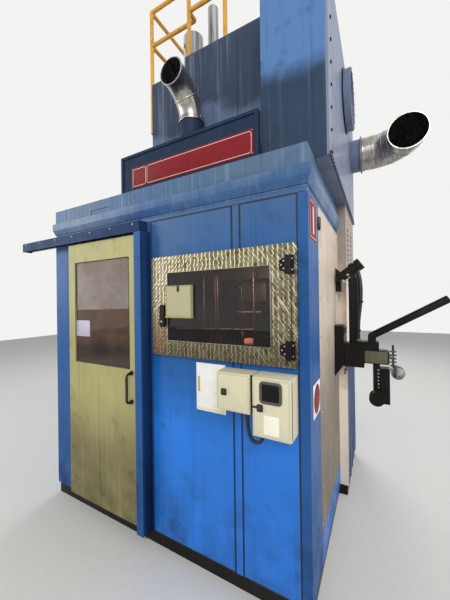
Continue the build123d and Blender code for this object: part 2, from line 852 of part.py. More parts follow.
# Hatch fittings: two heavy black hinges, a barrel between a straight and a tapered leaf, and a slim latch
with BuildPart() as hatch_fittings:
    x_hinge = from_right(hinge_offset)
    x_barrel = x_hinge - hinge_barrel_inset
    for z_hinge in (hinge_lower, hinge_upper):
        z_leaf = around(z_hinge + hinge_height / 2, hinge_height)
        z_tip = around(z_hinge + hinge_height / 2, hinge_tip)
        with BuildSketch(Plane.XZ.offset(-y_hatch)) as leaves:
            with BuildLine():
                Polyline((x_hinge, z_leaf[0]), (x_hinge, z_leaf[1]), (x_barrel, z_leaf[1]),
                         (x_hinge - hinge_width, z_tip[1]), (x_hinge - hinge_width, z_tip[0]),
                         (x_barrel, z_leaf[0]), close=True)
            make_face()
        extrude(leaves.sketch, amount=hinge_leaf)
        with BuildSketch(Plane.XY.offset(z_hinge)) as barrel:
            with Locations((x_barrel, y_hatch - hinge_proud / 2)):
                Circle(hinge_proud / 2)
        extrude(barrel.sketch, amount=hinge_height)
    latch_x = hatch_x[0] + latch_inset
    rounded_plate((latch_x, latch_x + latch_width), (latch_bottom, latch_bottom + latch_height),
                  y_hatch - latch_proud, latch_proud, latch_width / 3)
finish(hatch_fittings, "hatch_fittings")

# Document tray: a shallow folded sheet pocket hung on the glass
with BuildPart() as hatch_tray:
    tray_x = (hatch_glass_x[0], hatch_glass_x[0] + tray_width)
    tray_back = y_hatch + hatch_face
    slab(tray_x, (tray_back - tray_depth, tray_back), (tray_bottom, tray_bottom + tray_height))
    slab((tray_x[0] + tray_sheet, tray_x[1] - tray_sheet), (tray_back - tray_depth + tray_sheet,
         tray_back - tray_sheet), (tray_bottom + tray_sheet, tray_bottom + tray_height + cut_over),
         mode=Mode.SUBTRACT)
finish(hatch_tray, "hatch_tray")


# Wall cabinets: a pressed case with a shallow lid that turns on its right-hand front edge
def cabinet_case(x_left_edge, width, bottom, height, depth):
    """Open case against the wall; the door closes its front."""
    x_span = (x_left_edge, x_left_edge + width)
    case_y = (y_front - depth + cabinet_door, y_front)
    slab(x_span, case_y, (bottom, bottom + height))
    slab((x_span[0] + cabinet_wall, x_span[1] - cabinet_wall),
         (case_y[0] - cut_over, case_y[1] - cabinet_wall),
         (bottom + cabinet_wall, bottom + height - cabinet_wall), mode=Mode.SUBTRACT)


def cabinet_lid(x_left_edge, width, bottom, height, depth):
    """Door of a wall cabinet: a shallow pressed lid, hollow behind."""
    y_lid = y_front - depth
    x_span = (x_left_edge, x_left_edge + width)
    slab(x_span, (y_lid, y_lid + cabinet_door - cabinet_seal_gap), (bottom, bottom + height))
    slab((x_span[0] + cabinet_wall, x_span[1] - cabinet_wall),
         (y_lid + cabinet_wall, y_lid + cabinet_door),
         (bottom + cabinet_wall, bottom + height - cabinet_wall), mode=Mode.SUBTRACT)


def cabinet_lock(x_left_edge, bottom, depth, lock_up):
    """Quarter-turn lock: a low block on the lid's free side."""
    lock_x = x_left_edge + lock_inset
    rounded_plate((lock_x, lock_x + lock_width), (bottom + lock_up, bottom + lock_up + lock_height),
                  y_front - depth - lock_proud, lock_proud, lock_corner)


for letter, left, width, bottom, height, depth, lock_up in (
        ("a", cabinet_a_left, cabinet_a_width, cabinet_a_bottom, cabinet_a_height, cabinet_a_depth,
         cabinet_a_lock_up),
        ("b", cabinet_b_left, cabinet_b_width, cabinet_b_bottom, cabinet_b_height, cabinet_b_depth,
         cabinet_b_lock_up)):
    lid_left = from_right(left)
    with BuildPart() as case:
        cabinet_case(lid_left, width, bottom, height, depth)
    finish(case, f"cabinet_{letter}_case")
    with BuildPart() as lid:
        cabinet_lid(lid_left, width, bottom, height, depth)
        fillet(lid.edges().filter_by(Axis.Z).group_by(Axis.Y)[0], cabinet_wall)
        cabinet_lock(lid_left, bottom, depth, lock_up)
        if letter == "b":
            display_x = lid_left + display_inset
            rounded_plate((display_x, display_x + display_width),
                          (bottom + display_up, bottom + display_up + display_height),
                          y_front - depth - display_proud, display_proud, display_corner)
    finish(lid, f"cabinet_{letter}_door")

# Press bed: a welded base with a T-slotted bolster on top
with BuildPart() as press_bed:
    slab(around(0, bed_width), around(0, bed_depth), (0, bed_height - bolster_thickness))
    slab(around(0, bed_width - 2 * bolster_inset), around(0, bed_depth - 2 * bolster_inset),
         (bed_height - bolster_thickness, bed_height))
    slot_base = bed_height - slot_neck_depth - slot_foot_depth
    with BuildSketch(Plane.XZ.offset(-bed_depth / 2)) as slots:
        with Locations((0, bed_height - slot_neck_depth / 2)):
            with GridLocations(slot_spacing, 1, slot_count, 1):
                Rectangle(slot_neck, slot_neck_depth)
        with Locations((0, slot_base + slot_foot_depth / 2)):
            with GridLocations(slot_spacing, 1, slot_count, 1):
                Rectangle(slot_foot, slot_foot_depth)
    extrude(slots.sketch, amount=bed_depth, mode=Mode.SUBTRACT)
finish(press_bed, "press_bed")

with BuildPart() as press_columns:
    with BuildSketch(Plane.XY.offset(bed_height)) as columns:
        with GridLocations(column_spacing_x, column_spacing_y, 2, 2):
            Circle(column_radius)
    extrude(columns.sketch, amount=head_bottom - bed_height)
finish(press_columns, "press_columns")

with BuildPart() as press_head:
    slab(around(0, head_width), around(0, head_depth), (head_bottom, head_bottom + head_height))
    with BuildSketch(Plane.XY.offset(head_bottom)) as cylinder_bore:
        Circle(ram_rod_radius + bore_clearance)
    extrude(cylinder_bore.sketch, amount=ram_travel + 2 * rod_engagement, mode=Mode.SUBTRACT)
finish(press_head, "press_head")

# Carriers: two beams under the press head that join it to the cabin's roof and rear walls
with BuildPart() as tower_carriers:
    for x_end, y_near in ((x_right - side_plate, -carrier_out - carrier_width),
                          (x_rear_right - panel_depth, carrier_out)):
        slab((x_tower_left + tower_sheet, x_end), (y_near, y_near + carrier_width),
             (cornice_top, head_bottom))
finish(tower_carriers, "tower_carriers")

# Ram: a crosshead with four guide bores, a hydraulic rod above it and the upper die below
with BuildPart() as ram:
    slab(around(0, ram_width), around(0, ram_depth), (ram_bottom, ram_bottom + ram_height))
    with BuildSketch(Plane.XY.offset(ram_bottom)) as bores:
        with GridLocations(column_spacing_x, column_spacing_y, 2, 2):
            Circle(column_radius + guide_clearance)
    extrude(bores.sketch, amount=ram_height, mode=Mode.SUBTRACT)
    with BuildSketch(Plane.XY.offset(ram_bottom + ram_height)) as rod_section:
        Circle(ram_rod_radius)
    extrude(rod_section.sketch, amount=head_bottom + ram_travel + rod_engagement - ram_bottom - ram_height)
finish(ram, "ram")

with BuildPart() as upper_die:
    slab(around(0, die_width), around(0, die_width), (ram_bottom - upper_die_height, ram_bottom))
finish(upper_die, "upper_die")

with BuildPart() as lower_die:
    slab(around(0, die_width), around(0, die_width), (bed_height, bed_height + lower_die_height))
finish(lower_die, "lower_die")

# Short cable between the cabinets, from a gland under each case
gland_a = (from_right(cabinet_a_left - cable_a_inset), y_front - cabinet_a_depth / 2, cabinet_a_bottom)
gland_b = (from_right(cabinet_b_left - cable_b_inset), y_front - cabinet_a_depth / 2, cabinet_b_bottom)
cable_low = cabinet_b_bottom - cable_drop
with BuildPart() as cabinet_cable:
    with BuildLine() as cable_run:
        FilletPolyline(gland_a, (gland_a[0], gland_a[1], cable_low), (gland_b[0], gland_b[1], cable_low),
                       gland_b, radius=cable_bend)
    with BuildSketch(Plane(origin=gland_a, z_dir=(0, 0, -1))):
        Circle(cable_radius)
    sweep(path=cable_run.wires()[0])
finish(cabinet_cable, "cabinet_cable")


# Guard rails on the tower
def bar(start, end, radius):
    """Round bar between two points."""
    with BuildSketch(Plane(origin=start, z_dir=Vector(*end) - Vector(*start))) as section:
        Circle(radius)
    extrude(section.sketch, amount=(Vector(*end) - Vector(*start)).length)


rail_top = tower_top + rail_height
rail_mid = rail_top - rail_spacing
corner_post_foot = tower_top - corner_post_drop
rail_x = x_tower_left - rail_radius
rail_y = y_left_part + rail_edge
rail_front_y = y_recess + rail_edge
rail_back = y_back - rail_edge
rail_step_x = x_recess_left + rail_edge
rail_end_x = x_block_left - rail_edge
with BuildPart() as guard_rails:
    bar((rail_x, rail_y, corner_post_foot), (rail_x, rail_y, rail_top), rail_radius)
    bar((rail_x, rail_back, corner_post_foot), (rail_x, rail_back, rail_top), rail_radius)
    for x_post in (rail_step_x, (rail_step_x + rail_end_x) / 2, rail_end_x):
        bar((x_post, rail_front_y, tower_top), (x_post, rail_front_y, rail_top), rail_radius)
    for z_rail in (rail_mid, rail_top):
        bar((rail_x, rail_y, z_rail), (rail_x, rail_back, z_rail), rail_radius)
        bar((rail_x, rail_y, z_rail), (rail_step_x, rail_y, z_rail), rail_radius)
        bar((rail_step_x, rail_y, z_rail), (rail_step_x, rail_front_y, z_rail), rail_radius)
        bar((rail_step_x, rail_front_y, z_rail), (rail_end_x, rail_front_y, z_rail), rail_radius)
finish(guard_rails, "guard_rails")

# Upright cylinders on the tower
with BuildPart() as tower_cylinders:
    for offset_x, setback, radius in ((small_cylinder_offset, small_cylinder_setback, small_cylinder_radius),
                                      (large_cylinder_offset, large_cylinder_setback, large_cylinder_radius)):
        with BuildSketch(Plane.XY.offset(tower_top)) as cylinder_foot:
            with Locations((from_right(offset_x), y_front + setback)):
                Circle(radius)
        extrude(cylinder_foot.sketch, amount=cylinder_height)
finish(tower_cylinders, "tower_cylinders")

# Feeder on the right-hand side: a bracket and a lug on the wall
feeder_mid = y_front + feeder_y
pivot = Vector(x_right + pivot_out, feeder_mid, pivot_z)
lug_y = feeder_mid + tilt_radius + running_gap
feeder_beam_y = around(feeder_mid, beam_depth)
with BuildPart() as feeder_plates:
    with BuildSketch(Plane.XZ.offset(-feeder_mid - bracket_width / 2)) as bracket_side:
        with BuildLine():
            Polyline((x_right, bracket_bottom), (x_right + bracket_out, bracket_bottom + bracket_taper),
                     (x_right + bracket_out, bracket_top), (x_right, bracket_top), close=True)
        make_face()
    extrude(bracket_side.sketch, amount=bracket_width)
    slab((x_right, x_right + bracket_out + cut_over), feeder_beam_y, (beam_bottom, beam_bottom + beam_height),
         mode=Mode.SUBTRACT)
    with BuildSketch(Plane.XZ.offset(-lug_y - lug_width)) as lug_side:
        with BuildLine():
            Polyline((x_right, lug_bottom), (x_right + lug_out, lug_bottom),
                     (x_right + lug_out, lug_front_top), (x_right, lug_back_top), close=True)
        make_face()
    extrude(lug_side.sketch, amount=lug_width)
    with BuildSketch(Plane.XZ.offset(-lug_y)) as pin_section:
        with Locations((pivot.X, pivot.Z)):
            Circle(pivot_pin_radius)
    extrude(pin_section.sketch, amount=lug_y - feeder_mid + pivot_eye_width / 2 + pivot_pin_end)
finish(feeder_plates, "feeder_plates")

# Cylinder of the feeder: an eye on the pin, a round body and a flanged head, along one inclined axis
tilt_axis = Vector(1, 0, 0).rotate(Axis.Y, -tilt_angle)


def tilt_plane(along):
    """Plane across the cylinder's axis, this far from the pin."""
    return Plane(origin=pivot + tilt_axis * along, z_dir=tilt_axis)


with BuildPart() as feeder_cylinder:
    with BuildSketch(Plane.XZ.offset(-feeder_mid - pivot_eye_width / 2)) as eye:
        with Locations((pivot.X, pivot.Z)):
            Circle(pivot_eye_radius)
    extrude(eye.sketch, amount=pivot_eye_width)
    for along, length, radius in ((tilt_start, tilt_length, tilt_radius),
                                  (tilt_start + tilt_length, tilt_flange_length, tilt_flange_radius)):
        with BuildSketch(tilt_plane(along)) as body_section:
            Circle(radius)
        extrude(body_section.sketch, amount=length)
    with BuildSketch(Plane.XZ.offset(-feeder_mid - pivot_eye_width / 2)) as eye_bore:
        with Locations((pivot.X, pivot.Z)):
            Circle(pivot_pin_radius + running_gap)
    extrude(eye_bore.sketch, amount=pivot_eye_width, mode=Mode.SUBTRACT)
finish(feeder_cylinder, "feeder_cylinder")

# Frame of the feeder: a hollow beam with an end block, a slotted upright arm and a clamp for the cylinder
with BuildPart() as feeder_frame:
    slab((x_right, x_right + beam_out), feeder_beam_y, (beam_bottom, beam_bottom + beam_height))
    slab((x_right, x_right + beam_out - beam_wall), around(feeder_mid, beam_depth - 2 * beam_wall),
         (beam_bottom + beam_wall, beam_bottom + beam_height - beam_wall), mode=Mode.SUBTRACT)
    block_y = around(feeder_mid, block_depth)
    slab((x_right + beam_out, x_right + block_out), block_y, (block_bottom, block_bottom + block_height))
    chamfer(feeder_frame.faces().sort_by(Axis.X)[-1].edges(), block_edge)
    slab((x_right + shelf_left, x_right + shelf_right), block_y,
         (beam_bottom + beam_height, beam_bottom + beam_height + shelf_thickness))
    slab((x_right + beam_out, x_right + shelf_right), block_y,
         (block_bottom + block_height, beam_bottom + beam_height))
    arm_x = x_right + arm_out + arm_width / 2
    with BuildSketch(Plane.XY.offset(beam_bottom + beam_height)) as arm_section:
        with Locations((arm_x, feeder_mid)):
            Rectangle(arm_width, arm_depth)
            with GridLocations(arm_width / 2, arm_depth, 2, 2):
                Rectangle(arm_slot, 2 * arm_slot_depth, mode=Mode.SUBTRACT)
    extrude(arm_section.sketch, amount=arm_top - beam_bottom - beam_height)
    saddle_x = pivot.X + tilt_axis.X * clamp_along
    saddle_z = pivot.Z + tilt_axis.Z * clamp_along
    slab(around(saddle_x, clamp_width), around(feeder_mid, arm_depth), (arm_top, saddle_z))
    with BuildSketch(tilt_plane(clamp_along - clamp_width / 2)) as clamp_ring:
        Circle(tilt_radius + clamp_wall)
    extrude(clamp_ring.sketch, amount=clamp_width)
    with BuildSketch(tilt_plane(-clamp_width)) as clamp_bore:
        Circle(tilt_radius + running_gap)
    extrude(clamp_bore.sketch, amount=clamp_along + 3 * clamp_width, mode=Mode.SUBTRACT)
finish(feeder_frame, "feeder_frame")

# Strut: a round bar that leans out from two cheeks on the beam's shelf, with a pin through its eye
shelf_top = beam_bottom + beam_height + shelf_thickness
strut_foot = Vector(x_right + strut_out, feeder_mid, shelf_top + strut_rise)
strut_axis = Vector(1, 0, 0).rotate(Axis.Y, -strut_angle)
strut_cheek_y = strut_eye_width / 2 + strut_cheek / 2
with BuildPart() as feeder_strut:
    with BuildSketch(Plane(origin=strut_foot, z_dir=strut_axis)) as strut_section:
        Circle(strut_radius)
    extrude(strut_section.sketch, amount=strut_length)
    with BuildSketch(Plane.XZ.offset(-feeder_mid - strut_eye_width / 2)) as strut_eye:
        with Locations((strut_foot.X, strut_foot.Z)):
            Circle(strut_radius)
    extrude(strut_eye.sketch, amount=strut_eye_width)
    for side in (-1, 1):
        with BuildSketch(Plane.XZ.offset(-feeder_mid + side * strut_cheek_y - strut_cheek / 2)) as cheek:
            with Locations((strut_foot.X, strut_foot.Z)):
                Circle(strut_radius)
            with Locations((strut_foot.X, (strut_foot.Z + shelf_top) / 2)):
                Rectangle(2 * strut_radius, strut_foot.Z - shelf_top)
        extrude(cheek.sketch, amount=strut_cheek)
finish(feeder_strut, "feeder_strut")

# Drop post: a square post under the end block with a box on its outer side and a roller on a pin
post_span = (x_right + post_out, x_right + post_out + post_width)
with BuildPart() as feeder_post:
    slab(post_span, around(feeder_mid, post_depth), (post_bottom, block_bottom))
    slab((post_span[1], post_span[1] + side_box_width), around(feeder_mid, side_box_depth),
         (side_box_bottom, side_box_bottom + side_box_height))
    roller_y = feeder_mid - post_depth / 2 - post_roller_width
    for radius, near, length in ((roller_pin_radius, roller_y, post_roller_width),
                                 (post_roller_radius, roller_y, post_roller_width - roller_pin_radius)):
        with BuildSketch(Plane.XZ.offset(-near)) as roller:
            with Locations((x_right + post_out + post_width / 2, post_roller_z)):
                Circle(radius)
        extrude(roller.sketch, amount=-length)
finish(feeder_post, "feeder_post")

# Adjusters at the end of the block: a threaded rod with a stack of discs, and a cup on its lower end
x_block_end = x_right + block_out
adjuster_x = x_right + adjuster_out
with BuildPart() as feeder_adjusters:
    slab((x_block_end, adjuster_x), (feeder_mid - adjuster_lug, feeder_mid + adjuster_lug),
         (block_bottom + block_height / 2, block_bottom + block_height / 2 + adjuster_lug))
    stack_bottom = block_bottom - adjuster_pitch / 2
    with BuildSketch(Plane.XY.offset(stack_bottom - cup_drop)) as rod_outline:
        with Locations((adjuster_x, feeder_mid)):
            Circle(adjuster_rod_radius)
    extrude(rod_outline.sketch, amount=cup_drop + adjuster_count * adjuster_pitch + adjuster_pitch)
    for step in range(adjuster_count):
        with BuildSketch(Plane.XY.offset(stack_bottom + step * adjuster_pitch)) as disc:
            with Locations((adjuster_x, feeder_mid)):
                Circle(adjuster_disc_radius)
        extrude(disc.sketch, amount=adjuster_disc_thickness)
    cup_place = (adjuster_x + cup_offset, stack_bottom - cup_drop + cup_raise)
    with BuildSketch(Plane.XZ.offset(cup_front - feeder_mid)) as cup_outline:
        with Locations(cup_place):
            Circle(cup_radius)
    extrude(cup_outline.sketch, amount=-cup_length)
    with BuildSketch(Plane.XZ.offset(cup_front - feeder_mid)) as cup_hollow:
        with Locations(cup_place):
            Circle(cup_radius - cup_wall)
    extrude(cup_hollow.sketch, amount=-cup_length / 2, mode=Mode.SUBTRACT)
finish(feeder_adjusters, "feeder_adjusters")
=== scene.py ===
import math

import bmesh
import bpy
import numpy as np
from mathutils import Matrix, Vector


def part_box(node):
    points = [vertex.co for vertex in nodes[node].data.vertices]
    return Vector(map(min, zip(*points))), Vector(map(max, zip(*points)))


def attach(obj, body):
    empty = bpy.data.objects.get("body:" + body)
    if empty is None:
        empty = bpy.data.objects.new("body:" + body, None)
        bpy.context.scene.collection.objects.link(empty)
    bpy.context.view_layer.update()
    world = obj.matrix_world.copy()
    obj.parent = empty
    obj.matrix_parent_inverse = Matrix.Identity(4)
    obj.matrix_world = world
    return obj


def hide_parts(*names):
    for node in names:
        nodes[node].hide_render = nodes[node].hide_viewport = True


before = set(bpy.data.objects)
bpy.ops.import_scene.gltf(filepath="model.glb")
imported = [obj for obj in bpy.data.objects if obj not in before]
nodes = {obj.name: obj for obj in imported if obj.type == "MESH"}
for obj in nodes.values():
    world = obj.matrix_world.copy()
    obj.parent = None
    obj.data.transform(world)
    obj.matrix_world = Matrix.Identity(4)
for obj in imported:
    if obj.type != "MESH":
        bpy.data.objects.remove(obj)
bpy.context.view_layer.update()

# Camera: where the eye stood, which way it looked and the lens, worked out from the cabin's edges
IMAGE_HEIGHT_PX = 600
FOCAL_PX = 277.64
SENSOR_MM = 36.0
EYE = (1.011, -2.491, 1.68)
YAW_DEG = 29.034
PITCH_DEG = 0.152
ROLL_DEG = -0.736

CABLE_DIAMETER = 0.019
LOCK_PROUD = 0.009              # how far the locks stand in front of the cabinets' lids
RAIL_RADIUS = 0.017             # of the guard rails' tube
WAVER = 0.7                     # how far the edge of an enamel's height band strays in height, in metres; the bands carry soot, and on some finishes painted light and shade

X_AXIS = np.array((1.0, 0.0, 0.0))
Y_AXIS = np.array((0.0, 1.0, 0.0))
Z_AXIS = np.array((0.0, 0.0, 1.0))
FRONT = (X_AXIS, Z_AXIS)        # right and up seen from the operator's front, so out is -Y
RIGHT = (Y_AXIS, Z_AXIS)        # seen from the feeder's side, so out is +X
LEFT = (-Y_AXIS, Z_AXIS)        # seen from the door's end, so out is -X
BACK = (-X_AXIS, Z_AXIS)        # seen from behind, so out is +Y
TOP = (X_AXIS, Y_AXIS)          # seen from above, so out is +Z
UNDER = (X_AXIS, -Y_AXIS)       # seen from below, so out is -Z


def ends(name):
    """Lowest and highest corner of a node's box at rest, as two rows in metres."""
    return np.array(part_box(name))


def shown(name, data):
    """New object with this mesh, curve, light or camera, linked into the scene."""
    thing = bpy.data.objects.new(name, data)
    bpy.context.scene.collection.objects.link(thing)
    return thing


def aim(thing, right, up, place):
    """Puts a camera or lamp at a place with these right and up directions; it looks along minus right x up."""
    matrix = np.eye(4)
    matrix[:3] = np.stack([right, up, np.cross(right, up), place], 1)
    thing.matrix_world = Matrix(matrix.tolist())


# ---------------------------------------------------------------- camera, cable, lamps and stage


def make_camera():
    """Camera at the eye: forward from yaw and pitch, then the right and up vectors turned by the roll."""
    yaw, pitch, roll = (math.radians(a) for a in (YAW_DEG, PITCH_DEG, ROLL_DEG))
    forward = np.array((-math.sin(yaw) * math.cos(pitch), math.cos(yaw) * math.cos(pitch), math.sin(pitch)))
    level = np.array((math.cos(yaw), math.sin(yaw), 0.0))
    upright = np.cross(level, forward)
    data = bpy.data.cameras.new("camera")
    data.sensor_width = SENSOR_MM
    data.lens = FOCAL_PX * SENSOR_MM / IMAGE_HEIGHT_PX
    data.clip_end = 200.0
    camera = shown("camera", data)
    aim(camera, math.cos(roll) * level + math.sin(roll) * upright,
        math.cos(roll) * upright - math.sin(roll) * level, EYE)
    bpy.context.scene.camera = camera
    bpy.context.scene.view_settings.view_transform = "Standard"


def cabinet_cable():
    """Cable from under cabinet A to under cabinet B, hanging in one loop between its two glands."""
    route = ((0.3705, -1.105, 1.078), (0.3705, -1.105, 0.915), (0.4655, -1.105, 0.915), (0.4655, -1.105, 0.986))
    data = bpy.data.curves.new("cabinet_cable_run", "CURVE")
    data.dimensions = "3D"
    line = data.splines.new("NURBS")
    line.points.add(len(route) - 1)
    for point, place in zip(line.points, route):
        point.co = (*place, 1.0)
    line.order_u = 3
    line.use_endpoint_u = True
    line.resolution_u = 24
    data.bevel_depth = CABLE_DIAMETER / 2
    data.bevel_resolution = 5
    data.use_fill_caps = True
    data.materials.append(finishes["rubber"])
    cable = shown("cabinet_cable_run", data)
    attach(cable, "frame")
    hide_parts("cabinet_cable")
    radii, depths = (0.015, 0.015, 0.0125, 0.0125, 0.0105), (-0.002, 0.010, 0.012, 0.018, 0.030)
    glands = made("cable_glands", [turned((route[0], route[-1]), UNDER, radii, depths, 8)], "plastic")


def area_lamp(name, right, up, place, width, height, watts, tint=(1.0, 1.0, 1.0)):
    """Soft rectangle of light of this size, power and tint."""
    data = bpy.data.lights.new(name, "AREA")
    data.shape = "RECTANGLE"
    data.size, data.size_y, data.energy, data.color = width, height, watts, tint
    aim(shown(name, data), right, up, place)


# Soft boxes: name, place, what each looks at, side in metres and watts
SOFT_BOXES = (("key_box", (3.4, -7.0, 5.4), (-0.2, -0.8, 1.6), 4.0, 350.0),
              ("left_box", (-6.5, -4.5, 3.4), (-0.6, -0.8, 1.6), 4.0, 170.0),
              ("right_box", (6.5, 0.5, 4.6), (0.7, 0.0, 1.8), 3.5, 200.0),
              ("back_box", (-2.5, 6.5, 5.5), (0.0, 0.0, 2.0), 4.0, 240.0))


def make_lamps():
    """Each soft box looks along the line from its place to its target, with its right side level."""
    for name, place, target, size, watts in SOFT_BOXES:
        away = np.array(place) - np.array(target)
        away /= np.linalg.norm(away)
        side = np.cross(Z_AXIS, away)
        side /= np.linalg.norm(side)
        area_lamp(name, side, np.cross(away, side), place, size, size, watts)


def work_lamp():
    """Warm work lamp inside the cabin: a slim housing on the frame tube above the hatch, its lens facing inwards."""
    place = np.array((0.181, ends("front_frame")[1, 1], 1.918))
    made("work_lamp_housing", [plate(place, BACK, 0.110, 0.036, 0.020, 0.006, 0.003)], "steel")
    made("work_lamp_lens", [plate(place + Y_AXIS * 0.020, BACK, 0.096, 0.026, 0.003, 0.006, 0.001)], "lamp")
    area_lamp("work_lamp", *FRONT, place + Y_AXIS * 0.03, width=0.4, height=0.1, watts=7.0,
              tint=linear("#FFE9D6")[:3])


def make_stage():
    """Pale floor, and a pale backdrop that only the eye, mirrors and glass see."""
    half, level = 14.0, -0.001
    mesh = bpy.data.meshes.new("floor")
    mesh.from_pydata([(x, y, level) for x, y in ((-half, -half), (half, -half), (half, half), (-half, half))],
                     [], [(0, 1, 2, 3)])
    mesh.materials.append(moulded("pale_floor", "#D6D4CF", "#CBC8C2", 0.7, 40))
    shown("floor", mesh)
    world = bpy.data.worlds.new("studio")
    world.use_nodes = True
    bpy.context.scene.world = world
    tree = world.node_tree
    tree.nodes.clear()
    light = add(tree, "Background", {"Color": "#E9EDF2", "Strength": 0.5})
    seen = add(tree, "Background", {"Color": "#F3F3F2", "Strength": 1.0})
    path = add(tree, "LightPath", {}).node
    direct = path.outputs["Is Camera Ray"]
    for ray in ("Is Transmission Ray", "Is Glossy Ray"):
        direct = add(tree, "Math", {0: direct, 1: path.outputs[ray]}, operation="MAXIMUM")
    add(tree, "OutputWorld", {"Surface": add(tree, "MixShader", {0: direct, 1: light, 2: seen})})


# ---------------------------------------------------------------- finishes


def linear(hex_text):
    """sRGB hex to linear colour: c / 12.92 up to 0.04045, and ((c + 0.055) / 1.055) ** 2.4 above it."""
    values = np.array([int(hex_text[i:i + 2], 16) / 255 for i in (1, 3, 5)])
    return (*np.where(values <= 0.04045, values / 12.92, ((values + 0.055) / 1.055) ** 2.4).tolist(), 1.0)


def add(tree, kind, inputs, out=0, **settings):
    """Adds one shader node: settings are its properties, inputs are values, hex colours or sockets to link."""
    node = tree.nodes.new("ShaderNode" + kind)
    for key, value in settings.items():
        setattr(node, key, value)
    for key, value in inputs.items():
        if isinstance(value, bpy.types.NodeSocket):
            tree.links.new(value, node.inputs[key])
        else:
            node.inputs[key].default_value = linear(value) if isinstance(value, str) else value
    return node.outputs[out] if node.outputs else node


def start(name):
    """New empty finish: returns it, its tree and the object coordinates."""
    finish = bpy.data.materials.new(name)
    finish.use_nodes = True
    finish.node_tree.nodes.clear()
    return finish, finish.node_tree, add(finish.node_tree, "TexCoord", {}, 3)


def close(tree, colour, tones, inputs):
    """Ends a finish: lays the tones over the colour in turn, each through its mask, and adds the surface shader."""
    for mask, tone in tones:
        colour = add(tree, "Mix", {0: mask, 6: colour, 7: tone}, 2, data_type="RGBA")
    add(tree, "OutputMaterial", {"Surface": add(tree, "BsdfPrincipled", {"Base Color": colour, **inputs})})


def patches(tree, place, size_mm, low, high, stretch=(1.0, 1.0, 1.0), detail=4.0, shift=0.0, share=1.0):
    """Mask of soft patches: noise with features of this size, spread so that low gives 0 and high gives the share."""
    spread = add(tree, "Mapping", {"Vector": place, "Scale": stretch, "Location": (shift, shift, shift)})
    noise = add(tree, "TexNoise", {"Vector": spread, "Scale": 1000 / size_mm, "Detail": detail, "Roughness": 0.6})
    return add(tree, "MapRange", {"Value": noise, "From Min": low, "From Max": high, "To Max": share},
               interpolation_type="SMOOTHSTEP")


def relief(tree, place, size_mm, height_mm, strength, under=None, detail=2.0):
    """Normal of a surface with noise dents of this size and height, laid over an earlier normal."""
    noise = add(tree, "TexNoise", {"Vector": place, "Scale": 1000 / size_mm, "Detail": detail})
    inputs = {"Height": noise, "Distance": height_mm / 1000, "Strength": strength}
    return add(tree, "Bump", inputs if under is None else {**inputs, "Normal": under})


def enamel(name, fresh, faded, grime, drip, rough=0.4, drips=0.2, dirt=0.4, foot=0.0, fading=0.7, peel=0.3,
           wave=0.3, coat=0.0, gloss=0.3, edge_mm=2.5, bands=()):
    """Enamel on sheet steel: faded patches, pale drips, dark runs, stains, specks, a dirty foot and orange peel.

    The peel is drawn at 6 mm, twice the real 3 mm, because finer dents would not show. Drips are about 28 mm wide
    and 1.25 m long, runs 43 mm and 1.7 m, stains 130 mm and specks 7 mm across. Each band is a height where a
    tone sets in, the height where it is full, the tone and its share; its edge strays by WAVER times a noise.
    Most bands are soot. Some are painted light and shade: the fascia's pale band and the bluer top of the tower's
    block are painted highlights, and the door's darker lower part is partly dirt and partly a painted shadow.
    """
    finish, tree, place = start(name)
    height = add(tree, "SeparateXYZ", {0: place}, 2)
    cloud = add(tree, "TexNoise", {"Vector": place, "Scale": 1000 / 625, "Detail": 5.0})
    level = add(tree, "Math", {0: cloud, 1: WAVER, 2: height}, operation="MULTIPLY_ADD")
    # Height bands: soot on most finishes; painted highlights on the fascia and the tower's block, and partly a
    # painted shadow on the door
    soot_and_painted_light_bands = [(add(tree, "MapRange", {"Value": level, "From Min": first + WAVER / 2, "From Max": full + WAVER / 2,
                                    "To Max": share}, interpolation_type="SMOOTHSTEP"), tone)
            for first, full, tone, share in bands]
    fade = patches(tree, place, 800, 0.36, 0.66, share=fading)
    pale = patches(tree, place, 1000, 0.5, 0.8, stretch=(36.0, 36.0, 0.8), detail=6.0, share=drips)
    runs = patches(tree, place, 1000, 0.52, 0.8, stretch=(23.0, 23.0, 0.6), detail=6.0, shift=3.7, share=0.75)
    stains = patches(tree, place, 130, 0.52, 0.8, detail=8.0)
    specks = patches(tree, place, 7, 0.68, 0.76, detail=1.0)
    dirty = add(tree, "Math", {0: stains, 1: runs}, operation="MAXIMUM")
    dirty = add(tree, "Math", {0: dirty, 1: specks}, operation="MAXIMUM")
    low = add(tree, "MapRange", {"Value": height, "From Min": 0.05, "From Max": 0.8, "To Min": foot, "To Max": 0.0})
    low = add(tree, "Math", {0: low, 1: patches(tree, place, 240, 0.3, 0.72, detail=7.0)}, operation="MULTIPLY")
    dirty = add(tree, "Math", {0: dirty, 1: dirt, 2: low}, operation="MULTIPLY_ADD", use_clamp=True)
    normal = add(tree, "Bevel", {"Radius": edge_mm / 1000}, samples=4)
    normal = relief(tree, place, 650, 6.0, wave, under=normal, detail=1.0)
    close(tree, fresh, ((fade, faded), *soot_and_painted_light_bands, (pale, drip), (dirty, grime)),
          {"Roughness": add(tree, "MapRange", {"Value": dirty, "To Min": rough, "To Max": rough + 0.35}),
           "Normal": relief(tree, place, 6, 0.4, peel, under=normal),
           "Coat Weight": coat, "Coat Roughness": 0.12, "Specular IOR Level": gloss})
    return finish


def oiled_iron():
    """Welded and cast steel of the press under scale and oil: dark brown-black, dull metal where it rubs."""
    finish, tree, place = start("oiled_forge_iron")
    rust = patches(tree, place, 140, 0.45, 0.7, detail=8.0)
    worn = patches(tree, place, 60, 0.62, 0.74, detail=6.0, shift=1.3)
    close(tree, "#35302D", ((rust, "#5E4436"), (worn, "#8C837A")),
          {"Roughness": add(tree, "MapRange", {"Value": rust, "To Min": 0.38, "To Max": 0.7}),
           "Normal": relief(tree, place, 9, 1.2, 0.5, detail=6.0), "Metallic": 0.4})
    return finish


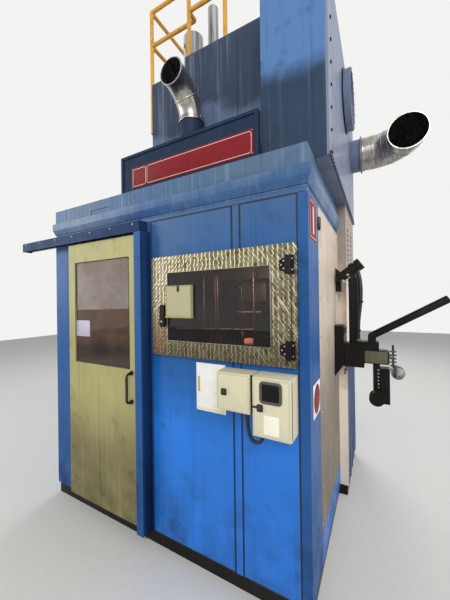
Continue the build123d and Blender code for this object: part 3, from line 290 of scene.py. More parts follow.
def bare_metal(name, bright, dull, stain, rough, grain_mm, grain=(1.0, 1.0, 1.0), wave=0.0):
    """Bare metal: working lines, dull clouds and a little oil stain.

    The lines are spots of the grain's size, made finer along each axis by its factor in grain. On the chromed
    tubes they are long bright and dark bands: a painted reflection.
    """
    finish, tree, place = start(name)
    lines = patches(tree, place, grain_mm, 0.3, 0.7, stretch=grain, detail=5.0)
    cloud = patches(tree, place, 260, 0.45, 0.78, detail=7.0, share=0.6)
    close(tree, dull, ((lines, bright), (cloud, stain)),
          {"Roughness": add(tree, "MapRange", {"Value": lines, "To Min": rough + 0.14, "To Max": rough}),
           "Metallic": 1.0, "Normal": relief(tree, place, 220, 4.0, wave)})
    return finish


def engine_turned(pitch_mm=28.0, spot_mm=25.0):
    """Engine-turned stainless: rows of overlapping round spots, each ground in circles.

    A point belongs to the last spot laid over it: of the spots of its own cell, the next to the right, the
    next above and the one above to the right, the last whose centre is nearer than the spot's radius.
    The circles would catch the light in one bright streak through each spot's centre; that streak is a painted
    highlight, and the streaks slowly turn along the plate: a point's distance from the streak is
    x * sin(lean) - y * cos(lean), from the centre of its spot. On the hinge side long leant painted highlight
    lines cross the spots, the low edge and lower right are darkened as painted shade, the left edge is pinkish
    and the lower left corner rusty.
    """
    finish, tree, place = start("engine_turned_stainless")
    parts = add(tree, "SeparateXYZ", {0: place}).node
    x, z = parts.outputs[0], parts.outputs[2]
    flat = add(tree, "CombineXYZ", {0: x, 1: z})
    cells = add(tree, "VectorMath", {0: flat, "Scale": 1000 / pitch_mm}, operation="SCALE")
    base = add(tree, "VectorMath", {0: cells}, operation="FLOOR")
    offset, own = None, None
    for step in ((0.5, 0.5, 0.0), (1.5, 0.5, 0.0), (0.5, 1.5, 0.0), (1.5, 1.5, 0.0)):
        centre = add(tree, "VectorMath", {0: base, 1: step}, operation="ADD")
        away = add(tree, "VectorMath", {0: cells, 1: centre}, operation="SUBTRACT")
        reach = add(tree, "VectorMath", {0: away}, 1, operation="LENGTH")
        inside = add(tree, "Math", {0: reach, 1: spot_mm / pitch_mm}, operation="LESS_THAN")
        if offset is None:
            offset, own = away, centre
        else:
            offset = add(tree, "Mix", {0: inside, 4: offset, 5: away}, 1, data_type="VECTOR")
            own = add(tree, "Mix", {0: inside, 4: own, 5: centre}, 1, data_type="VECTOR")
    local = add(tree, "SeparateXYZ", {0: offset}).node
    back = add(tree, "Math", {0: local.outputs[1], 1: -1.0}, operation="MULTIPLY")
    rings = add(tree, "CombineXYZ", {0: back, 2: local.outputs[0]})

    # Painted highlight streaks: they lean 0.89 radians at the press axis and 1.22 more a metre to the right, by
    # chance up to 0.9 more, and fade out 0.19 of a pitch from their middle line
    chance = add(tree, "TexWhiteNoise", {"Vector": own}, noise_dimensions="2D")
    lean = add(tree, "Math", {0: x, 1: 1.22, 2: 0.89}, operation="MULTIPLY_ADD")
    lean = add(tree, "Math", {0: chance, 1: 0.9, 2: lean}, operation="MULTIPLY_ADD")
    rise, run = (add(tree, "Math", {0: add(tree, "Math", {0: lean}, operation=turn), 1: local.outputs[axis]},
                     operation="MULTIPLY") for axis, turn in enumerate(("SINE", "COSINE")))
    apart = add(tree, "Math", {0: add(tree, "Math", {0: rise, 1: run}, operation="SUBTRACT")}, operation="ABSOLUTE")
    streaks = add(tree, "MapRange", {"Value": apart, "From Min": 0.0, "From Max": 0.19, "To Min": 0.9,
                                     "To Max": 0.0}, interpolation_type="SMOOTHSTEP")

    # Shares by place: the hinge side with its painted highlight lines, the right in painted shade, the pinkish left
    # edge, the low edge in painted shade, and the heights over which the shaded right ends
    hinge_side, right, pink, low, under = (
        add(tree, "MapRange", {"Value": along, "From Min": first, "From Max": last, "To Min": near, "To Max": far})
        for along, first, last, near, far in ((x, 0.3, 0.52, 0.0, 1.0), (x, 0.48, 0.62, 0.0, 1.0),
                                              (x, -0.28, -0.15, 0.6, 0.0), (z, 1.36, 1.62, 0.62, 0.0),
                                              (z, 1.72, 1.9, 0.3, 0.0)))

    # Long painted highlight lines of the hinge side, about 7.5 by 160 mm, leant by 0.6 radians
    leant = add(tree, "Mapping", {"Vector": place, "Rotation": (0.0, -0.6, 0.0), "Scale": (0.0075, 1.0, 0.16)},
                vector_type="TEXTURE")
    long = add(tree, "TexNoise", {"Vector": leant, "Scale": 1.0, "Detail": 2.0})
    long = add(tree, "MapRange", {"Value": long, "From Min": 0.57, "From Max": 0.66}, interpolation_type="SMOOTHSTEP")
    long = add(tree, "Math", {0: long, 1: hinge_side}, operation="MULTIPLY")
    streaks = add(tree, "Math", {0: streaks, 1: long}, operation="MAXIMUM")

    # Painted shade over the low edge and lower right, rust in the lower left corner
    right = add(tree, "Math", {0: right, 1: under}, operation="MULTIPLY")
    painted_shade_share = add(tree, "Math", {0: low, 1: right}, operation="MAXIMUM")
    away = add(tree, "VectorMath", {0: flat, 1: (-0.305, 1.445, 0.0)}, 1, operation="DISTANCE")
    rusty = add(tree, "MapRange", {"Value": away, "From Min": 0.14, "From Max": 0.03, "To Max": 0.6})
    rusty = add(tree, "Math", {0: patches(tree, place, 60, 0.25, 0.6, detail=5.0), 1: rusty}, operation="MULTIPLY")
    tone = patches(tree, place, 45, 0.35, 0.7)
    close(tree, "#948B6E",
          ((tone, "#554B3A"), (pink, "#8E8076"), (streaks, "#F2EEC4"), (painted_shade_share, "#40352C"), (rusty, "#9C6C48")),
          {"Roughness": add(tree, "MapRange", {"Value": chance, "To Min": 0.26, "To Max": 0.42}),
           "Metallic": 0.85, "Anisotropic": 0.6, "Tangent": rings})
    return finish


def window_sheet(name, tint, dust_and_reflection, film, gloss, wiped):
    """Clear sheet under oil mist and dust: light passes, and a warm film of uneven thickness veils the view.

    The film thins out between the two wiped heights, and below them a quarter of it is left.
    """
    finish, tree, place = start(name)
    height = add(tree, "SeparateXYZ", {0: place}, 2)
    left = add(tree, "MapRange", {"Value": height, "From Min": wiped[0], "From Max": wiped[1], "To Min": 0.25})
    veil = add(tree, "Math", {0: patches(tree, place, 260, 0.2, 0.8, detail=6.0), 1: left}, operation="MULTIPLY")
    clear = add(tree, "MapRange", {"Value": veil, "To Min": 1.0, "To Max": 1.0 - film})
    colour = add(tree, "Mix", {0: veil, 6: tint, 7: dust_and_reflection}, 2, data_type="RGBA")
    sheet = add(tree, "BsdfPrincipled", {"Base Color": colour, "Transmission Weight": clear, "Roughness": 0.02,
                                         "IOR": 1.45, "Specular IOR Level": gloss})
    lamp_ray = add(tree, "LightPath", {}, 1)
    passed = add(tree, "BsdfTransparent", {"Color": tint})
    add(tree, "OutputMaterial", {"Surface": add(tree, "MixShader", {0: lamp_ray, 1: sheet, 2: passed})})
    return finish


def moulded(name, tone, worn, rough, grain_mm, bloom=0.4, gloss=0.5):
    """Moulded, cast or printed skin in one colour, with worn and dusty patches and a fine grain."""
    finish, tree, place = start(name)
    wear = patches(tree, place, 45, 0.42, 0.82, detail=7.0, share=bloom)
    close(tree, tone, ((wear, worn),),
          {"Roughness": add(tree, "MapRange", {"Value": wear, "To Min": rough, "To Max": rough + 0.25}),
           "Normal": relief(tree, place, grain_mm, 0.2, 0.25), "Specular IOR Level": gloss})
    return finish


def hot_steel():
    """Steel at forging heat: a pinkish glow, darker where grey scale lies on it."""
    finish, tree, place = start("forging_hot_steel")
    scale = patches(tree, place, 25, 0.4, 0.7, detail=6.0)
    glow = add(tree, "Mix", {0: scale, 6: "#FFB8AC", 7: "#DE7C72"}, 2, data_type="RGBA")
    close(tree, "#7A3020", (), {"Emission Color": glow, "Emission Strength": 3.0, "Roughness": 0.8})
    return finish


finishes = {
    # Gloss machine enamel, sprayed: strong blue low down, darkened by fume towards the roof, oily dirt at the floor
    "blue": enamel("gloss_machine_enamel", "#1E7CE0", "#246CC6", "#0E1F3A", "#4A90E4", rough=0.33,
                   drips=0.12, foot=0.7, coat=0.1, bands=((0.8, 1.35, "#144E88", 0.85), (1.7, 2.3, "#486588", 0.8))),
    # The same enamel on the posts, handled and sooty: duller and darker
    "post": enamel("sooty_machine_enamel", "#235494", "#2F5C92", "#101C30", "#4F7AAE", drips=0.15, dirt=0.5,
                   foot=0.7, gloss=0.15, bands=((1.9, 2.3, "#3E6094", 0.7),)),
    # The closing post's return: the same enamel, painted black-blue for the shade it lies in
    "painted_shade_post": enamel("painted_shade_enamel", "#132F56", "#193862", "#0A1426", "#2C4E7E", rough=0.5, drips=0.1,
                        foot=0.7, gloss=0.1),
    # Rail cover: the same blue under soot, with a dull sheen
    "cover": enamel("sooty_cover_enamel", "#22375C", "#2A4066", "#121A28", "#506690", dirt=0.6, gloss=0.05),
    # Fascia under the roof: the cabin's blue, greyed by years of fume, with pale drips; the pale band near its top is
    # a painted highlight
    "fascia": enamel("fume_greyed_fascia_enamel", "#30548A", "#466788", "#1E3048", "#8CA4B0", rough=0.3, drips=0.3,
                     dirt=0.5, fading=0.8, gloss=0.15, bands=((2.2, 2.42, "#A2B4BE", 0.3),)),
    # The same enamel on the roof edge: greenish grey, with more drips
    "cornice": enamel("fume_greyed_enamel", "#4B688E", "#5A7084", "#2C4258", "#9DB4B4", rough=0.38, drips=0.45,
                      dirt=0.55, fading=0.9, gloss=0.15),
    # Sign board: dark slate-blue enamel, dull
    "sign": enamel("slate_blue_enamel", "#1A2A42", "#2A384E", "#0C1626", "#4E627E", rough=0.45, drips=0.15,
                   gloss=0.1),
    # Tower's front block: dark blue-grey enamel, darker low down and bluer high up: the bluer top band is a painted
    # lit band, and the darker enamel below it is partly smoke and partly painted shade
    "tower": enamel("smoked_and_painted_lit_enamel", "#28384F", "#334257", "#161F2E", "#71859A", drips=0.3, dirt=0.6,
                    fading=0.8, wave=0.4, gloss=0.15, bands=((3.0, 3.14, "#5B82B6", 0.85),)),
    # Tower's recessed wall: the same enamel, lighter and streaked below a smoke-black band
    "tower_wall": enamel("streaked_machine_enamel", "#5C6A8A", "#687490", "#1A222E", "#93A2AE", drips=0.5,
                         dirt=0.65, fading=0.8, wave=0.4, gloss=0.2, bands=((3.07, 3.17, "#233044", 0.85),)),
    # Roof sheets: the same enamel under settled scale dust, matt grey
    "roof": enamel("scale_dusted_enamel", "#3A4658", "#4B5664", "#1C232E", "#5C6876", rough=0.55, drips=0.0,
                   dirt=0.3, fading=0.9, gloss=0.2),
    # Tower's side: the same enamel, made paler: partly pale dust, partly a painted sheen of the bright light it
    # catches
    "tower_side": enamel("dust_and_sheen_enamel", "#67748F", "#7A8196", "#39414F", "#A9B0BC", rough=0.42, drips=0.4,
                         dirt=0.6, fading=0.9, coat=0.1, gloss=0.2),
    # Brushed cream-green enamel of the sliding door, with brown hand and floor dirt; the darker band over its lower
    # part is partly that dirt and partly a painted shadow
    "door": enamel("cream_green_enamel", "#B0AB70", "#A49E68", "#4E452E", "#BFBB88", rough=0.42, drips=0.25,
                   dirt=0.5, foot=0.8, fading=0.8, peel=0.25, wave=0.2, coat=0.05, gloss=0.2,
                   bands=((1.15, 0.55, "#78704C", 0.85),)),
    # Lower sheet behind the feeder: slate-blue enamel, sooty
    "slate": enamel("sooty_slate_enamel", "#3F5278", "#4A5B7C", "#1A2230", "#77869E", drips=0.3, dirt=0.6,
                    foot=0.5, fading=0.9, coat=0.1),
    # Cream-green enamel of the document tray: clean and even
    "tray": enamel("cream_tray_enamel", "#B4AF8B", "#AFAA86", "#837D5E", "#BDB999", drips=0.05, dirt=0.1,
                   fading=0.4, peel=0.2, wave=0.05, coat=0.1),
    # Old cream enamel of the side guard, warm above, dusty and brown-grey below
    "guard": enamel("yellowed_cream_enamel", "#D8C9B6", "#C4B5A2", "#5C5042", "#E4DACA", rough=0.5, drips=0.4,
                    dirt=0.6, foot=0.5, fading=0.9, coat=0.05, bands=((1.75, 0.8, "#5A4E3E", 0.85),)),
    # The same enamel on the wall behind the guard: paler and less handled, smoke-grey under the tower
    "rear": enamel("pale_cream_enamel", "#F8E8D8", "#EEDDCC", "#7C6F5E", "#F6EDE0", rough=0.5, drips=0.3, foot=0.4,
                   fading=0.8, coat=0.05, bands=((1.68, 2.05, "#7C6E66", 0.85),)),
    # Fine-textured powder coat of the wall cabinets: matt warm white
    "cabinet": enamel("textured_powder_coat", "#D8D1B2", "#CEC7A8", "#8C8468", "#E2DCC4", rough=0.5, drips=0.1,
                      dirt=0.16, fading=0.4, peel=0.35, wave=0.05, edge_mm=4.0),
    # Safety-yellow enamel on tube, chipped and sooty
    "yellow": enamel("yellow_rail_enamel", "#DCA33C", "#C89030", "#4A3418", "#E6B85C", dirt=0.7, peel=0.2,
                     wave=0.0, coat=0.2, edge_mm=1.0),
    # Black enamel under grease and scale dust: nearly black, with brown dust where it lies
    "black": enamel("greasy_black_enamel", "#110F0E", "#221F1B", "#090807", "#3C352C", rough=0.36, drips=0.4,
                    dirt=0.6, fading=0.8, peel=0.4, wave=0.1, gloss=0.15, edge_mm=2.0),
    # Olive-cream enamel of the feeder's end block, rubbed and oily
    "olive": enamel("oily_olive_enamel", "#5E5B46", "#4E4B3A", "#26221A", "#8B8666", dirt=0.7, coat=0.1),
    "iron": oiled_iron(),
    # Ground steel: bright metal with fine lines and a little oil
    "steel": bare_metal("ground_steel", "#B4B2AC", "#7E7A74", "#4C443B", 0.26, 30, (1.0, 1.0, 40.0)),
    # Hard chrome on rods and columns: mirror-bright
    "chrome": bare_metal("hard_chrome", "#D0CFCC", "#A5A3A0", "#6A6259", 0.12, 30, (1.0, 1.0, 20.0)),
    # Zinc-plated fasteners: pale grey, slightly blue
    "zinc": bare_metal("zinc_plate", "#B9BCC0", "#8C8F94", "#5A5650", 0.3, 12),
    # Rolled stainless sheet of the ducts: soft grey mirror with rolling streaks and heat-dulled clouds
    "duct": bare_metal("rolled_stainless_sheet", "#C2BEB7", "#97928B", "#6B665F", 0.2, 22, (1.0, 0.15, 0.15), 0.15),
    # Chromed cylinder tubes: bright bands and dark bands run up them, a painted reflection
    "tube": bare_metal("chromed_cylinder_tube", "#D6D6D8", "#3A3D42", "#6A6259", 0.14, 60, (1.0, 1.0, 0.02)),
    # Stainless sheet ground in rows of spots: a fish-scale shimmer of painted highlight streaks on dark cream
    "turned": engine_turned(),
    # Clear sheet of the door: a brown veil over its upper part, clearer low down; the veil is partly dust and partly
    # a painted reflection
    "door_glass": window_sheet("dust_and_reflection_door_sheet", "#8E7462", "#765540", 0.75, 0.08, (1.33, 1.42)),
    # Clear sheet of the hatch: nearly clean, tinted brown by fume
    "hatch_glass": window_sheet("dusty_hatch_sheet", "#A78F80", "#4A382E", 0.03, 0.0, (0.0, 0.1)),
    # Vulcanised rubber: matt black with a dusty bloom; the grain is drawn at 3 mm so that it shows
    "rubber": moulded("vulcanised_rubber", "#161616", "#353230", 0.6, 3),
    # Moulded black plastic: satin, fine grain drawn at 2 mm
    "plastic": moulded("moulded_black_plastic", "#141415", "#343230", 0.34, 2),
    # Moulded grey plastic of the display's bezel: satin olive-grey
    "grey": moulded("moulded_grey_plastic", "#4A4A40", "#2E2E2A", 0.4, 2),
    # Vitreous red enamel of sign plates: deep red, sooty
    "red": moulded("red_sign_enamel", "#84242A", "#4E1A1A", 0.45, 40, bloom=0.5, gloss=0.1),
    # Cream line paint on the red plates: pinkish where it has worn thin
    "cream_line": moulded("cream_line_paint", "#E6D3C4", "#B08C80", 0.35, 40, bloom=0.5),
    # Gold and straw printed film at the edges of the pinned sheet: flat colour, a little faded
    "gold": moulded("gold_printed_film", "#C09C4C", "#9E8A58", 0.4, 40),
    "straw": moulded("straw_printed_film", "#DDDCA6", "#B9B58A", 0.4, 40),
    # Printed film of labels, matt: cream on the cabinet, white and lightly greyed, and lilac-grey on the door, where
    # the lilac-grey is painted shade
    "label": moulded("cream_label_film", "#F4F1DE", "#D8D3BC", 0.5, 40, bloom=0.2),
    "white": moulded("white_label_film", "#ECEAE4", "#B9B3A8", 0.45, 40, bloom=0.3),
    "label_in_painted_shade": moulded("painted_shade_label_film", "#B9B2C4", "#8F8894", 0.45, 40),
    # Black liquid-crystal window: smooth and dark
    "display": moulded("display_window", "#050607", "#101214", 0.2, 40, bloom=0.3, gloss=0.25),
    "hot": hot_steel(),
    # Frosted lens of the work lamp: warm white
    "lamp": moulded("frosted_lamp_lens", "#E2B48A", "#C8996C", 0.5, 40),
}

# Which CAD nodes take each finish
FINISH_OF = {
    "blue": ("front_frame", "door_header", "front_panel_a", "front_panel_b", "front_mullion", "left_wall",
             "cabin_back_wall", "side_sill", "rear_housing", "header_band"),
    "post": ("front_left_post", "centre_post", "closing_post", "corner_post"),
    "cover": ("rail_cover",),
    "fascia": ("fascia_band",),
    "cornice": ("cornice",),
    "roof": ("roof_sheet", "tower_top_sheet"),
    "sign": ("sign_board", "left_duct_spigot"),
    "tower": ("tower_front_block",),
    "tower_wall": ("tower_main_wall",),
    "tower_side": ("tower_side_plate", "port_ring", "right_duct_spigot"),
    "guard": ("side_guard",),
    "rear": ("rear_right_wall",),
    "door": ("front_door",),
    "tray": ("hatch_tray",),
    "cabinet": ("cabinet_a_case", "cabinet_a_door", "cabinet_b_case", "cabinet_b_door"),
    "yellow": ("guard_rails",),
    "black": ("base_plinth", "feeder_plates", "feeder_cylinder", "feeder_strut", "feeder_post", "feeder_frame",
              "hatch_fittings"),
    "iron": ("press_bed", "press_head", "tower_carriers", "ram"),
    "steel": ("door_rail", "door_hangers", "upper_die", "lower_die"),
    "chrome": ("press_columns",),
    "tube": ("tower_cylinders", "feeder_adjusters"),
    "duct": ("left_duct_elbow", "right_duct_elbow"),
    "turned": ("hatch_frame",),
    "door_glass": ("door_glass",),
    "hatch_glass": ("hatch_glass",),
    "plastic": ("door_handle",),
}


def dress_cad_nodes():
    """Gives every CAD node its real finish."""
    for finish, names in FINISH_OF.items():
        for name in names:
            data = nodes[name].data
            data.materials.clear()
            data.materials.append(finishes[finish])


# ---------------------------------------------------------------- surfaces


def circle(sides, turn=0.0):
    """Even points of a unit circle: cosine and sine of angles from the turn onwards."""
    angle = turn + np.arange(sides) * 2 * np.pi / sides
    return np.stack([np.cos(angle), np.sin(angle)], -1)


def rounded(width, height, radius, steps=4):
    """Rounded rectangle: each quarter arc of the radius, moved out to its own corner centre."""
    quarter = np.arange(4)[:, None]
    angle = (quarter + np.linspace(0.0, 1.0, steps)) * np.pi / 2
    diagonal = (quarter + 0.5) * np.pi / 2
    x = np.sign(np.cos(diagonal)) * (width / 2 - radius) + radius * np.cos(angle)
    y = np.sign(np.sin(diagonal)) * (height / 2 - radius) + radius * np.sin(angle)
    return np.stack([x, y], -1).reshape(-1, 2)


def grid_faces(rows, columns, closed):
    """Quads of a grid whose columns close: point (i, j) joins (i + 1, j), (i + 1, j + 1) and (i, j + 1)."""
    i = np.arange(rows if closed else rows - 1)[:, None]
    j = np.arange(columns)[None, :]
    far_i, far_j = (i + 1) % rows, (j + 1) % columns
    quads = np.stack(np.broadcast_arrays(i * columns + j, i * columns + far_j, far_i * columns + far_j,
                                         far_i * columns + j), -1)
    return quads.reshape(-1, 4)


def stacked(centres, view, outlines, depths, closed=False):
    """Closed shell of outlines one above the other, copied to each centre.

    point = centre + x * right + y * up + depth * out, for outline points (x, y) and one depth per outline.
    The ends close with a flat face each, or the last outline joins the first where closed is set.
    """
    right, up = view
    out = np.cross(right, up)
    centres = np.atleast_2d(np.asarray(centres, float))
    outlines = np.asarray(outlines, float)
    rows, columns = outlines.shape[:2]
    shape = outlines[..., :1] * right + outlines[..., 1:] * up + np.asarray(depths, float)[:, None, None] * out
    points = (centres[:, None, None, :] + shape[None]).reshape(-1, 3)
    starts = np.arange(len(centres)) * rows * columns
    quads = (starts[:, None, None] + grid_faces(rows, columns, closed)[None]).reshape(-1, 4).tolist()
    if closed:
        return points, quads
    cap = np.arange(columns)
    first = (starts[:, None] + cap[::-1]).tolist()
    last = (starts[:, None] + (rows - 1) * columns + cap).tolist()
    return points, quads + first + last


def plate(centres, view, width, height, depth, radius=0.002, edge=0.0015, back=0.0):
    """Plate with rounded corners and a softened front edge: the outline shrinks by the edge as it nears the face."""
    levels = (-back, depth - edge, depth - 0.3 * edge, depth)
    outlines = [rounded(width - 2 * s, height - 2 * s, max(radius - s, 1e-4)) for s in (0.0, 0.0, 0.3 * edge, edge)]
    return stacked(centres, view, outlines, levels)


def gasket(centre, view, width, height, wide, proud, radius=0.002, steps=4):
    """Strip round a rectangle: its section rises, rounds over and falls between an inner and an outer outline."""
    grow = np.array((-0.5, -0.5, -0.25, 0.25, 0.5, 0.5)) * wide
    levels = np.array((0.0, 0.6, 1.0, 1.0, 0.6, 0.0)) * proud
    outlines = [rounded(width + 2 * g, height + 2 * g, max(radius + g, 1e-4), steps) for g in grow]
    return stacked(centre, view, outlines, levels, closed=True)


def pan(centre, view, width, height, depth, wall, radius, edge):
    """Pressed pan, open behind: its floor, its rim and its front follow one rounded outline, inset by the wall."""
    inset = np.array((wall, wall, 0.0, 0.0, 0.3 * edge, edge))
    levels = (depth - wall, 0.0, 0.0, depth - edge, depth - 0.3 * edge, depth)
    outlines = [rounded(width - 2 * i, height - 2 * i, max(radius - i, 1e-3), 5) for i in inset]
    return stacked(centre, view, outlines, levels)


def turned(centres, view, radii, depths, sides=20, turn=0.0):
    """Turned part: a circle of each radius at each depth along the axis."""
    return stacked(centres, view, np.asarray(radii, float)[:, None, None] * circle(sides, turn), depths)


def ring(centres, view, radius, wide, proud, sides=40):
    """Band round a tube: a rounded section between the tube's surface and its rim, closed on itself."""
    radii = radius + np.array((0.0, 0.7, 1.0, 1.0, 0.7, 0.0)) * proud
    levels = np.array((-0.5, -0.5, -0.3, 0.3, 0.5, 0.5)) * wide
    return stacked(centres, view, radii[:, None, None] * circle(sides), levels, closed=True)


def bolts(centres, view, across):
    """Hexagon heads on washers: a thin disc, then a hexagon whose rim is rounded off."""
    radius = across / 2
    washer = turned(centres, view, np.array((1.45, 1.45, 1.35)) * radius, np.array((0.0, 0.14, 0.2)) * radius, 16)
    head = turned(centres, view, np.array((1.12, 1.12, 0.98)) * radius, np.array((0.2, 0.75, 0.9)) * radius, 6, 0.3)
    return [washer, head]


def screws(centres, view, radius):
    """Low domed heads, half as high as the radius: circles that shrink towards the crown."""
    return [turned(centres, view, np.array((1.0, 1.0, 0.86, 0.5, 0.15)) * radius,
                   np.array((0.0, 0.3, 0.7, 0.95, 1.0)) * radius / 2, 10)]


def between(first, last, count):
    """Even row of points between two points."""
    return np.linspace(np.asarray(first, float), np.asarray(last, float), count)


def round_path(points):
    """Path with its corners cut off four times over: each run keeps its points at one and three quarters."""
    path = np.asarray(points, float)
    for _ in range(4):
        inner = np.stack([0.75 * path[:-1] + 0.25 * path[1:], 0.25 * path[:-1] + 0.75 * path[1:]], 1)
        path = np.concatenate([path[:1], inner.reshape(-1, 3), path[-1:]])
    return path


def tube(path, radius, side, section):
    """Tube along a path: the section at each point, square to the path, which never runs along side.

    point = place + radius * (a * across + b * other), for section points (a, b), where across is side x along.
    """
    path = np.asarray(path, float)
    along = np.gradient(path, axis=0)
    along /= np.linalg.norm(along, axis=1, keepdims=True)
    across = np.cross(side, along)
    across /= np.linalg.norm(across, axis=1, keepdims=True)
    other = np.cross(along, across)
    rim = np.arange(len(section))
    points = path[:, None] + radius * (section[None, :, :1] * across[:, None] + section[None, :, 1:] * other[:, None])
    caps = [rim[::-1].tolist(), ((len(path) - 1) * len(section) + rim).tolist()]
    return points.reshape(-1, 3), grid_faces(len(path), len(section), False).tolist() + caps


def made(name, parts, finish, body="frame"):
    """One piece from closed shells: joins their arrays, turns every face outwards and rides on a body."""
    starts = np.cumsum([0] + [len(points) for points, _ in parts])
    points = np.concatenate([points for points, _ in parts])
    faces = [[int(i + first) for i in face] for (_, shell), first in zip(parts, starts) for face in shell]
    mesh = bpy.data.meshes.new(name)
    mesh.from_pydata(points.tolist(), [], faces)
    work = bmesh.new()
    work.from_mesh(mesh)
    bmesh.ops.recalc_face_normals(work, faces=work.faces)
    work.to_mesh(mesh)
    work.free()
    mesh.set_sharp_from_angle(angle=math.radians(40))
    mesh.materials.append(finishes[finish])
    piece = shown(name, mesh)
    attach(piece, body)
    return piece


def middle(name, view):
    """Middle of a node's face seen in this view, with the face's width and height."""
    low, high = ends(name)
    size, out = high - low, np.cross(*view)
    return (low + high) / 2 + out * abs(size @ out) / 2, abs(size @ view[0]), abs(size @ view[1])


# The pieces below stand at places in metres, read off the photograph through the camera onto the face that carries
# them. The numbers after a view are, in metres: of a plate, its width, height and depth, then the radius of its
# corners and of its front edge; of a gasket, its width and height, then its strip's width, height and corner
# radius; of a turned part, its radii and their depths, then its count of sides.

# ---------------------------------------------------------------- the cabin's front


def front_seams():
    """Dark seams where the two front panels meet their posts, and the bead under the fascia."""
    seams = []
    for name in ("front_panel_a", "front_panel_b"):
        centre, width, height = middle(name, FRONT)
        seams.append(gasket(centre, FRONT, width - 0.004, height - 0.004, 0.0065, 0.0014))
    made("front_panel_seams", seams, "rubber")
    low, high = ends("header_band")
    section = rounded(1.0, 1.4, 0.45)
    z = low[2] + 0.034
    turn = (high[0], low[1], z)
    made("header_bead", [tube([(low[0], low[1], z), turn], 0.007, Z_AXIS, section),
                         tube([turn, (high[0], high[1], z)], 0.007, Z_AXIS, section)], "cornice")
    made("header_seam", [plate(((low[0] + high[0]) / 2, low[1], low[2] + 0.003), FRONT, high[0] - low[0] - 0.02,
                               0.006, 0.003)], "rubber")


def hatch_details():
    """Screws, leaf seam, hinge bolts and knuckles, steel fold round the sheet, tray rim and clip, latch catch."""
    y_face = ends("hatch_frame")[0, 1]
    screw_places = [(x, y_face, z) for x, z in ((0.011, 1.947), (0.305, 1.953), (0.591, 1.950), (-0.002, 1.343),
                                                (0.589, 1.350))]
    made("hatch_screws", screws(screw_places, FRONT, 0.0065), "plastic")
    centre = middle("hatch_glass", FRONT)[0]
    centre[1] = y_face
    made("hatch_sheet_fold", [gasket(centre, FRONT, 0.709, 0.442, 0.003, 0.0012, 0.003)], "steel")
    made("hatch_leaf_seam", [plate((0.6165, y_face, 1.641), FRONT, 0.004, 0.345, 0.0012, 0.001, 0.0005)], "rubber")
    low, high = ends("hatch_fittings")
    caps, heads = [], []
    for z in (low[2] + 0.048, high[2] - 0.048):
        for end, lift in ((TOP, 0.046), (UNDER, -0.046)):
            caps.append(turned((high[0] - 0.030, low[1] + 0.017, z + lift), end, (0.013, 0.013, 0.010),
                               (0.0, 0.0012, 0.002), 16))
        heads.append(turned([(high[0] + x, y_face - 0.014, z + dz) for x, dz in
                             ((-0.008, -0.028), (-0.008, 0.028), (-0.052, -0.020), (-0.052, 0.020), (-0.066, 0.0))],
                            FRONT, (0.0045, 0.0045, 0.003), (0.0, 0.0022, 0.003), 12))
    made("hatch_hinge_caps", caps, "black")
    made("hatch_hinge_bolts", heads, "zinc")
    tray, width, height = middle("hatch_tray", FRONT)
    rim = gasket(tray, FRONT, width - 0.008, height - 0.008, 0.006, 0.0025, 0.004)
    lip = plate(tray - Z_AXIS * (height / 2 - 0.006), FRONT, width, 0.012, 0.006, 0.003)
    made("hatch_tray_rim", [rim, lip], "door")
    made("hatch_tray_clip", [plate((-0.1025, tray[1], 1.763), FRONT, 0.016, 0.034, 0.006, 0.004, 0.002),
                             plate((-0.1025, tray[1], 1.750), FRONT, 0.008, 0.02, 0.009, 0.003, 0.002)], "plastic")
    made("latch_catch", [turned((-0.234, y_face - 0.026, 1.548), FRONT, (0.007, 0.007, 0.005), (0.0, 0.003, 0.004),
                                14)], "zinc")


def door_details():
    """Rubber round the door's sheet, the bare label on it, the handle's feet, the post's return in painted shade,
    cover screws.
    """
    y_leaf = ends("front_door")[0, 1]
    made("door_sheet_seal", [gasket((-0.843, y_leaf, 1.603), FRONT, 0.618, 0.794, 0.004, 0.002, 0.004)], "rubber",
         "front_door")
    # The door's label is lilac-grey: painted shade over the label
    made("door_label", [plate((-1.066, ends("door_glass")[0, 1], 1.474), FRONT, 0.168, 0.126, 0.0006, 0.004, 0.0002)],
         "label_in_painted_shade", "front_door")
    made("handle_feet", [turned(((-0.514, y_leaf, 0.975), (-0.514, y_leaf, 1.185)), FRONT, (0.013, 0.013, 0.009),
                                (0.0, 0.004, 0.006), 18)], "plastic", "front_door")
    # A thin black-blue sheet on the closing post's side, where it lies in shade: painted shade
    centre, width, height = middle("closing_post", RIGHT)
    made("closing_post_return", [plate(centre, RIGHT, width - 0.004, height - 0.002, 0.0006, 0.001, 0.0002)],
         "painted_shade_post")
    low, high = ends("rail_cover")
    row = between((low[0] + 0.06, low[1], 2.214), (high[0] - 0.06, low[1], 2.214), 7)
    made("rail_cover_screws", screws(row, FRONT, 0.006), "zinc")


def cabinet_lid(name, gap):
    """Pressed lid with rounded edges and a fold round its face, a gap short on the right; returns its middle."""
    low, high = ends(name)
    back = np.array(((low[0] + high[0] - gap) / 2, high[1], (low[2] + high[2]) / 2))
    width, height, depth = high[0] - low[0] - gap, high[2] - low[2], high[1] - low[1] - LOCK_PROUD
    lid = made(name + "_pressing", [pan(back, FRONT, width, height, depth, 0.0025, 0.006, 0.005)], "cabinet", name)
    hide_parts(name)
    face = back - Y_AXIS * depth
    made(name + "_fold", [gasket(face, FRONT, width - 0.018, height - 0.018, 0.006, 0.0008, 0.004)], "cabinet", name)
    return face


